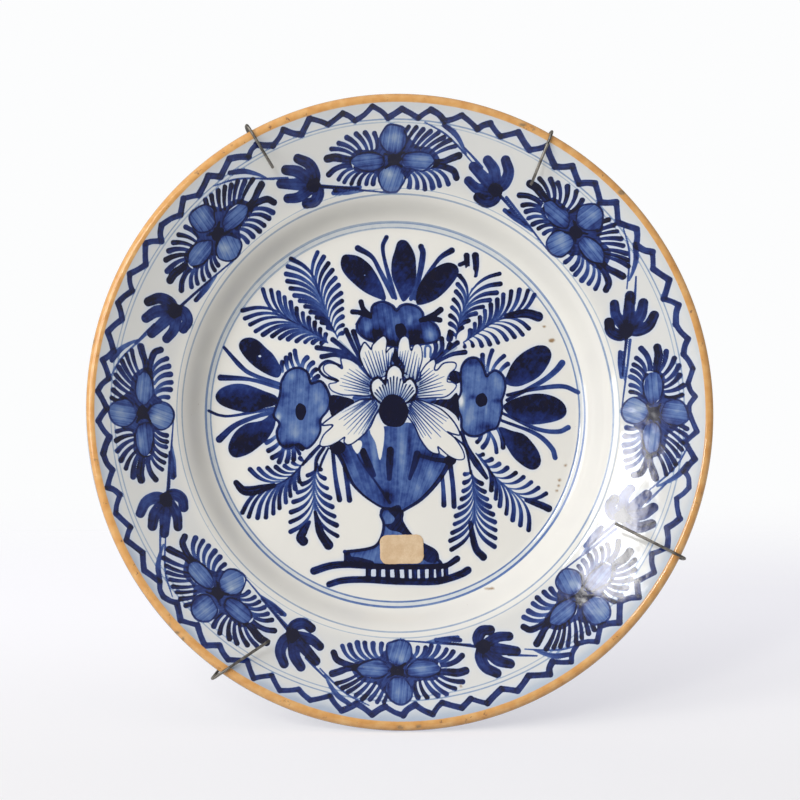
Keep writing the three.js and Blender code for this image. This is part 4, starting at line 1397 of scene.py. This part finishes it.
class Nodes:
    """Short words for building the nodes of a material or of the world."""

    def __init__(self, owner, last_node):
        owner.use_nodes = True
        self.owner = owner
        self.tree = owner.node_tree
        self.last = self.tree.nodes[last_node]

    def add(self, kind, inputs=(), **values):
        """A node with these values, whose first sockets or, from a dict, named ones are fed."""
        node = self.tree.nodes.new(kind)
        for key, value in values.items():
            setattr(node, key, value)
        self.fill(node, inputs)
        return node

    def fill(self, node, inputs):
        """Sets each socket to a value, or links it to another node's."""
        for key, value in inputs.items() if isinstance(inputs, dict) else enumerate(inputs):
            if isinstance(value, (int, float, tuple)):
                node.inputs[key].default_value = value
            else:
                self.tree.links.new(value, node.inputs[key])

    def end(self, inputs):
        """Feeds the last node and gives what the nodes belong to."""
        self.fill(self.last, inputs)
        return self.owner

    def math(self, kind, a, b, clamp=False):
        return self.add("ShaderNodeMath", (a, b), operation=kind, use_clamp=clamp).outputs[0]

    def vector(self, kind, a, b=(0, 0, 0), out="Vector"):
        return self.add("ShaderNodeVectorMath", (a, b), operation=kind).outputs[out]

    def remap(self, value, low, high, to_low=0.0, to_high=1.0):
        given = (value, low, high, to_low, to_high)
        return self.add("ShaderNodeMapRange", given, interpolation_type="SMOOTHSTEP").outputs[0]

    def place(self, kind="Object"):
        return self.add("ShaderNodeTexCoord").outputs[kind]

    def split(self, vector):
        return self.add("ShaderNodeSeparateXYZ", (vector,)).outputs

    def noise(self, size, detail, rough=0.5):
        """Noise whose lumps are about so many mm wide."""
        return self.add("ShaderNodeTexNoise", {
            "Vector": self.place(), "Scale": 1 / (size * MM), "Detail": detail, "Roughness": rough,
        }).outputs["Fac"]

    def mix(self, share, low, high, kind="RGBA"):
        node = self.add("ShaderNodeMix", data_type=kind)
        ends = [i for i, socket in enumerate(node.inputs) if socket.enabled and socket.name in "AB"]
        self.fill(node, {"Factor": share, ends[0]: low, ends[1]: high})
        return [socket for socket in node.outputs if socket.enabled][0]

    def ramp(self, value, stops):
        node = self.add("ShaderNodeValToRGB", (value,))
        marks = node.color_ramp.elements
        while len(marks) < len(stops):
            marks.new(0.5)
        for mark, (at, colour) in zip(marks, stops):
            mark.position = at
            mark.color = shade(*colour)
        return node.outputs["Color"]

    def bump(self, height, distance, strength, under=None):
        given = {"Strength": strength, "Distance": distance * MM, "Height": height}
        if under:
            given["Normal"] = under
        return self.add("ShaderNodeBump", given).outputs["Normal"]

    def rays(self, *kinds):
        """1 for the rays of these kinds, and 0 for the rest."""
        paths = self.add("ShaderNodeLightPath").outputs
        share = paths[f"Is {kinds[0]} Ray"]
        for kind in kinds[1:]:
            share = self.math("MAXIMUM", share, paths[f"Is {kind} Ray"])
        return share


def new_material(name):
    return Nodes(bpy.data.materials.new(name), "Principled BSDF")


def shade(red, green, blue):
    """A colour from its 0 to 255 screen values, as the light that it reflects."""
    return tuple(((v / 255 + 0.055) / 1.055) ** 2.4 for v in (red, green, blue)) + (1.0,)


# Colours in screen values. Each row of a ramp starts with the share at which it is reached.
WELL_GROUND = shade(229, 228, 223)
WELL_GROUND_DULL = shade(226, 225, 221)
RIM_GROUND = shade(214, 215, 214)
# Blue of the rim's edge band, partly the glaze's own blue and partly painted shade
EDGE_BLUE_AND_SHADE = shade(120, 145, 184)
HALO_BLUE = shade(196, 208, 230)
IRON = shade(40, 31, 30)
CHIP = shade(122, 84, 56)
PIT = shade(168, 156, 138)
CLAY_DARK = shade(116, 90, 60)
CLAY_PALE = shade(178, 148, 110)
COBALT = (
    (0.0, (226, 229, 229)), (0.12, (190, 200, 209)), (0.3, (132, 152, 184)), (0.5, (84, 112, 168)),
    (0.68, (46, 70, 134)), (0.85, (22, 38, 98)), (0.95, (14, 24, 68)), (1.0, (8, 11, 41)),
)
OCHRE = ((0.3, (205, 148, 85)), (0.5, (215, 162, 99)), (0.72, (224, 178, 119)))
PAPER_DARK = shade(208, 180, 146)
PAPER_PALE = shade(221, 197, 165)
PAPER_STAIN = shade(186, 152, 114)
RUST = shade(112, 72, 48)

# Radii between which the well's ground turns into the rim's, and over which a blue band darkens the rim's
# edge, and how far below the dish's middle that band starts to grow and is at its deepest. The band is
# partly the glaze pooling blue and partly painted shade.
RIM_TURN = (88, 96)
BLUE_AND_SHADE_BAND = (118.5, 124.6)
BLUE_AND_SHADE_DOWN = (-18, 73)


def glaze_material():
    n = new_material("painted_glaze")
    paint_in, body_in = [n.add("ShaderNodeAttribute", attribute_name=name).outputs
                         for name in ("paint", "body")]
    line_edge, line_tone, wash_edge = n.add("ShaderNodeSeparateColor", (paint_in["Color"],)).outputs
    ochre_edge, edge_on, halo = n.add("ShaderNodeSeparateColor", (body_in["Color"],)).outputs
    wash_tone, unglazed = paint_in["Alpha"], body_in["Alpha"]
    ragged = n.math("MULTIPLY", n.math("SUBTRACT", n.noise(0.7, 2), 0.5), 0.22)
    mottle = n.noise(2.2, 3, rough=0.6)

    def pigment(edge, tone, soft, vary):
        shown = n.remap(n.math("ADD", edge, ragged), 0.5 - soft, 0.5 + soft)
        varied = n.math("MULTIPLY", tone, n.remap(mottle, 0.25, 0.75, 1 - vary, 1 + vary))
        return n.math("MULTIPLY", shown, varied, clamp=True)

    drawn = pigment(line_edge, line_tone, 0.2, 0.07)
    washed = pigment(wash_edge, wash_tone, 0.25, 0.08)
    free = n.math("SUBTRACT", 1.0, drawn)
    amount = n.math("ADD", drawn, n.math("MULTIPLY", washed, free), clamp=True)

    place = n.vector("SUBTRACT", n.place(), tuple(CENTRE))
    radius = n.vector("LENGTH", n.vector("MULTIPLY", place, (1, 0, 1)), out="Value")
    ground = n.mix(n.remap(n.noise(28, 2), 0.35, 0.7), WELL_GROUND, WELL_GROUND_DULL)
    ground = n.mix(n.remap(radius, *(r * MM for r in RIM_TURN)), ground, RIM_GROUND)

    # A blue band painted at the rim's edge, most at the bottom and only in front: partly the glaze pooling
    # blue, partly painted shade
    edge_blue_and_shade = n.math("POWER", n.remap(radius, *(r * MM for r in BLUE_AND_SHADE_BAND)), 1.5)
    down = n.vector("DOT_PRODUCT", place, (-0.1, 0, -1), out="Value")
    edge_blue_and_shade = n.math("MULTIPLY", edge_blue_and_shade, n.remap(down, *(d * MM for d in BLUE_AND_SHADE_DOWN), 0.15, 0.85))
    normal = n.add("ShaderNodeNewGeometry").outputs["Normal"]
    facing = n.vector("DOT_PRODUCT", normal, (0, -1, 0), out="Value")
    edge_blue_and_shade = n.math("MULTIPLY", edge_blue_and_shade, n.remap(facing, 0, 0.2))
    ground = n.mix(edge_blue_and_shade, ground, EDGE_BLUE_AND_SHADE)
    ground = n.mix(n.remap(halo, 0.05, 0.7, 0, 0.8), ground, HALO_BLUE)
    painted = n.mix(n.remap(amount, 0.0, 0.2), ground, n.ramp(amount, COBALT))
    iron = n.math("MULTIPLY", n.remap(amount, 0.95, 1.0), n.remap(n.noise(3.4, 3), 0.5, 0.72, 0, 0.2))
    painted = n.mix(iron, painted, IRON)

    chips = n.math("MULTIPLY", n.remap(n.noise(3.2, 4, rough=0.7), 0.63, 0.69), edge_on)
    ochre = n.mix(chips, n.ramp(n.noise(4.5, 3), OCHRE), CHIP)
    final = n.mix(n.remap(n.math("ADD", ochre_edge, ragged), 0.25, 0.75), painted, ochre)
    pits = n.remap(n.noise(1.1, 1), 0.8, 0.84)
    final = n.mix(n.math("MULTIPLY", pits, 0.4), final, PIT)
    final = n.mix(unglazed, final, n.mix(n.noise(1.5, 3), CLAY_DARK, CLAY_PALE))

    gloss = n.remap(n.noise(9, 3), 0.3, 0.7, 0.09, 0.14)
    matt = n.math("MAXIMUM", unglazed, n.math("MULTIPLY", chips, 0.8))
    waves = n.bump(n.noise(14, 2), 0.3, 0.8)
    orange_peel = n.bump(n.noise(2.6, 2), 0.03, 0.6, waves)
    return n.end({
        "Base Color": final,
        "Roughness": n.math("MAXIMUM", gloss, n.math("MULTIPLY", matt, 0.8)),
        "IOR": 1.52,
        "Normal": n.bump(n.math("SUBTRACT", 1.0, pits), 0.05, 0.5, orange_peel),
    })


def paper_material():
    n = new_material("aged_paper")
    fibres = n.noise(0.5, 4, rough=0.7)
    colour = n.mix(n.remap(n.noise(5, 3), 0.35, 0.65), PAPER_DARK, PAPER_PALE)
    return n.end({
        "Base Color": n.mix(n.remap(fibres, 0.35, 0.7, 0, 0.3), colour, PAPER_STAIN),
        "Roughness": n.remap(fibres, 0.3, 0.7, 0.8, 0.95),
        "Normal": n.bump(fibres, 0.04, 0.5),
        "Specular IOR Level": 0.25,
    })


def wire_material(name, dark, bright, rust_share):
    n = new_material(name)
    patches = n.noise(2.2, 4, rough=0.65)
    colour = n.mix(n.remap(patches, 0.35, 0.65), dark, bright)
    rust = n.remap(n.noise(1.2, 3), 0.62, 0.72, 0, rust_share)
    return n.end({
        "Base Color": n.mix(rust, colour, RUST),
        "Metallic": 0.85,
        "Roughness": n.remap(patches, 0.3, 0.7, 0.32, 0.55),
        "Normal": n.bump(n.noise(0.4, 2), 0.02, 0.5),
    })


# The pieces, each in place of its solid


def dress(piece, material, slot_name, *nodes):
    piece.data.materials.clear()
    piece.data.materials.append(material)
    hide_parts(*nodes)


dish = build_dish()
dress(dish, glaze_material(), "painted_glaze", "faience_dish")
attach(dish, "dish")

label = label_mesh()
dress(label, paper_material(), "aged_paper", "paper_label")
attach(label, "dish")

dark_steel = wire_material("dark_steel_wire", shade(82, 80, 78), shade(142, 138, 130), 0.35)
spring_steel = wire_material("spring_steel", shade(120, 120, 124), shade(168, 166, 164), 0.2)

upper_route, upper_seats = upper_wire()
lower_route, lower_seats = lower_wire()
for name, route, body in (
    ("upper_wire", upper_route, "upper_hook"), ("lower_wire", lower_route, "lower_hook"),
):
    wire = tube(name, route, WIRE_RADIUS, WIRE_SIDES)
    dress(wire, dark_steel, "dark_steel_wire", f"{body}_wire")
    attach(wire, body)

for name, low, high in (
    ("left_spring", lower_seats[0], upper_seats[0]), ("right_spring", lower_seats[1], upper_seats[1]),
):
    lower_half, upper_half, middle = spring_halves(name, low, high)
    dress(lower_half, spring_steel, "spring_steel", name)
    dress(upper_half, spring_steel, "spring_steel", name)
    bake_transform(lower_half)
    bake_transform(upper_half)


# Studio

# Floor, in mm and degrees: it rises to the back from just under the dish's lowest edge
FLOOR_TILT = 14
FLOOR_GAP = 0.4
CONTACT_DEPTH = 2
FLOOR_HALF_WIDTH = 1500
FLOOR_NEAR = -900
FLOOR_FAR = 440
LOWEST = -RIM_RADIUS * ROUND_Z

# Where the floor fades out behind the dish and where, for the rays that see it, in front of it
FAR_FADE = 200
NEAR_FADE = -350

# Its colour, and its own glow, which grows from near to far between two depths
FLOOR_COLOUR = (0.485, 0.485, 0.45, 1)
FLOOR_GLOW = (0.95, 0.955, 1.08, 1)
GLOW_DEPTHS = (-150, 200)
GLOW_STRENGTHS = (0.455, 0.58)


def studio_floor():
    """A pale sheet under the dish that rises to the back and fades into the backdrop."""
    n = new_material("pale_floor")
    seen = n.rays("Camera", "Glossy", "Transmission")
    depth = n.split(n.place())["Y"]
    glow = n.remap(depth, *(d * MM for d in GLOW_DEPTHS), *GLOW_STRENGTHS)
    near_fade = n.math("MULTIPLY", seen, n.remap(depth, NEAR_FADE * MM, FLOOR_NEAR * MM))
    gone = n.math("MAXIMUM", n.remap(depth, FAR_FADE * MM, FLOOR_FAR * MM), near_fade)
    underside = n.add("ShaderNodeNewGeometry").outputs["Backfacing"]
    material = n.end({
        "Base Color": FLOOR_COLOUR,
        "Roughness": 1,
        "Specular IOR Level": 0,
        "Emission Color": FLOOR_GLOW,
        "Emission Strength": n.math("MULTIPLY", seen, glow),
        "Alpha": n.math("SUBTRACT", 1, n.math("MAXIMUM", gone, underside)),
    })
    slope = math.tan(math.radians(FLOOR_TILT))
    points = []
    for side, y in ((-1, FLOOR_NEAR), (1, FLOOR_NEAR), (1, FLOOR_FAR), (-1, FLOOR_FAR)):
        back = y + HANGER_PLANE
        height = LOWEST - FLOOR_GAP + (back - CONTACT_DEPTH) * slope
        points.append(world(side * FLOOR_HALF_WIDTH, back, height))
    floor = new_object("floor", points, [(0, 1, 2, 3)])
    floor.data.materials.append(material)


# Light of the room on the dish: to its left and right, and its share in front and behind
ROOM_LEFT = 0.78
ROOM_RIGHT = 0.5
ROOM_FRONT = 0.4
ROOM_BACK = 0.8
ROOM_COLOUR = (1, 0.97, 0.945, 1)

# The backdrop that the camera sees
BACKDROP = 0.985
BACKDROP_COLOUR = (0.99, 0.995, 1, 1)

# Azimuth and elevation in degrees, distance, width and height in m, and power in W
LAMPS = {
    "softbox": (-21.8, 16, 2.0, 0.24, 0.74, 11),
    "window": (-50, 12, 2.2, 1.1, 1.4, 26),
}
LAMP_COLOUR = (1, 0.99, 0.98)


def toward(azimuth, elevation):
    """The way from the dish to what stands so many degrees to its right and above its axis."""
    a, e = math.radians(azimuth), math.radians(elevation)
    return Vector((math.cos(e) * math.sin(a), -math.cos(e) * math.cos(a), math.sin(e)))


def stand(name, data, place, look):
    """Stands a lamp or camera at a place, looking this way."""
    thing = bpy.data.objects.new(name, data)
    bpy.context.scene.collection.objects.link(thing)
    thing.location = place
    thing.rotation_euler = look.to_track_quat("-Z", "Y").to_euler()
    return thing


def lamp(name, azimuth, elevation, distance, width, height, power):
    data = bpy.data.lights.new(name, "AREA")
    data.shape = "RECTANGLE"
    data.size = width
    data.size_y = height
    data.energy = power
    data.color = LAMP_COLOUR
    way = toward(azimuth, elevation)
    stand(name, data, CENTRE + way * distance, -way)


def studio():
    scene = bpy.context.scene
    scene.view_settings.view_transform = "Standard"
    n = Nodes(bpy.data.worlds.new("studio"), "Background")
    seen = n.rays("Camera", "Transmission")
    across, along, _ = n.split(n.place("Generated"))
    room = n.remap(across, -1, 1, ROOM_LEFT, ROOM_RIGHT)
    for share in (n.remap(along, -1, -0.6, ROOM_FRONT, 1), n.remap(along, -0.1, 0.5, 1, ROOM_BACK)):
        room = n.math("MULTIPLY", room, share)
    scene.world = n.end({
        "Strength": n.mix(seen, room, BACKDROP, kind="FLOAT"),
        "Color": n.mix(seen, ROOM_COLOUR, BACKDROP_COLOUR),
    })
    for name, values in LAMPS.items():
        lamp(name, *values)


def camera():
    """The photograph's angle: a long lens, a little left of the dish's axis and below it."""
    azimuth, elevation, distance = -6.5, -3.8, 1.5
    mm_per_pixel = 0.4026
    pixels = 800
    aim_in_pixels = Vector((-3.25, 0, 10.07))
    data = bpy.data.cameras.new("camera")
    data.sensor_width = 36
    data.lens = data.sensor_width * distance / (mm_per_pixel * pixels * MM)
    data.clip_start = 0.05
    data.clip_end = 20
    place = CENTRE + toward(azimuth, elevation) * distance
    look = CENTRE + aim_in_pixels * mm_per_pixel * MM - place
    bpy.context.scene.camera = stand("camera", data, place, look)


studio_floor()
studio()
camera()
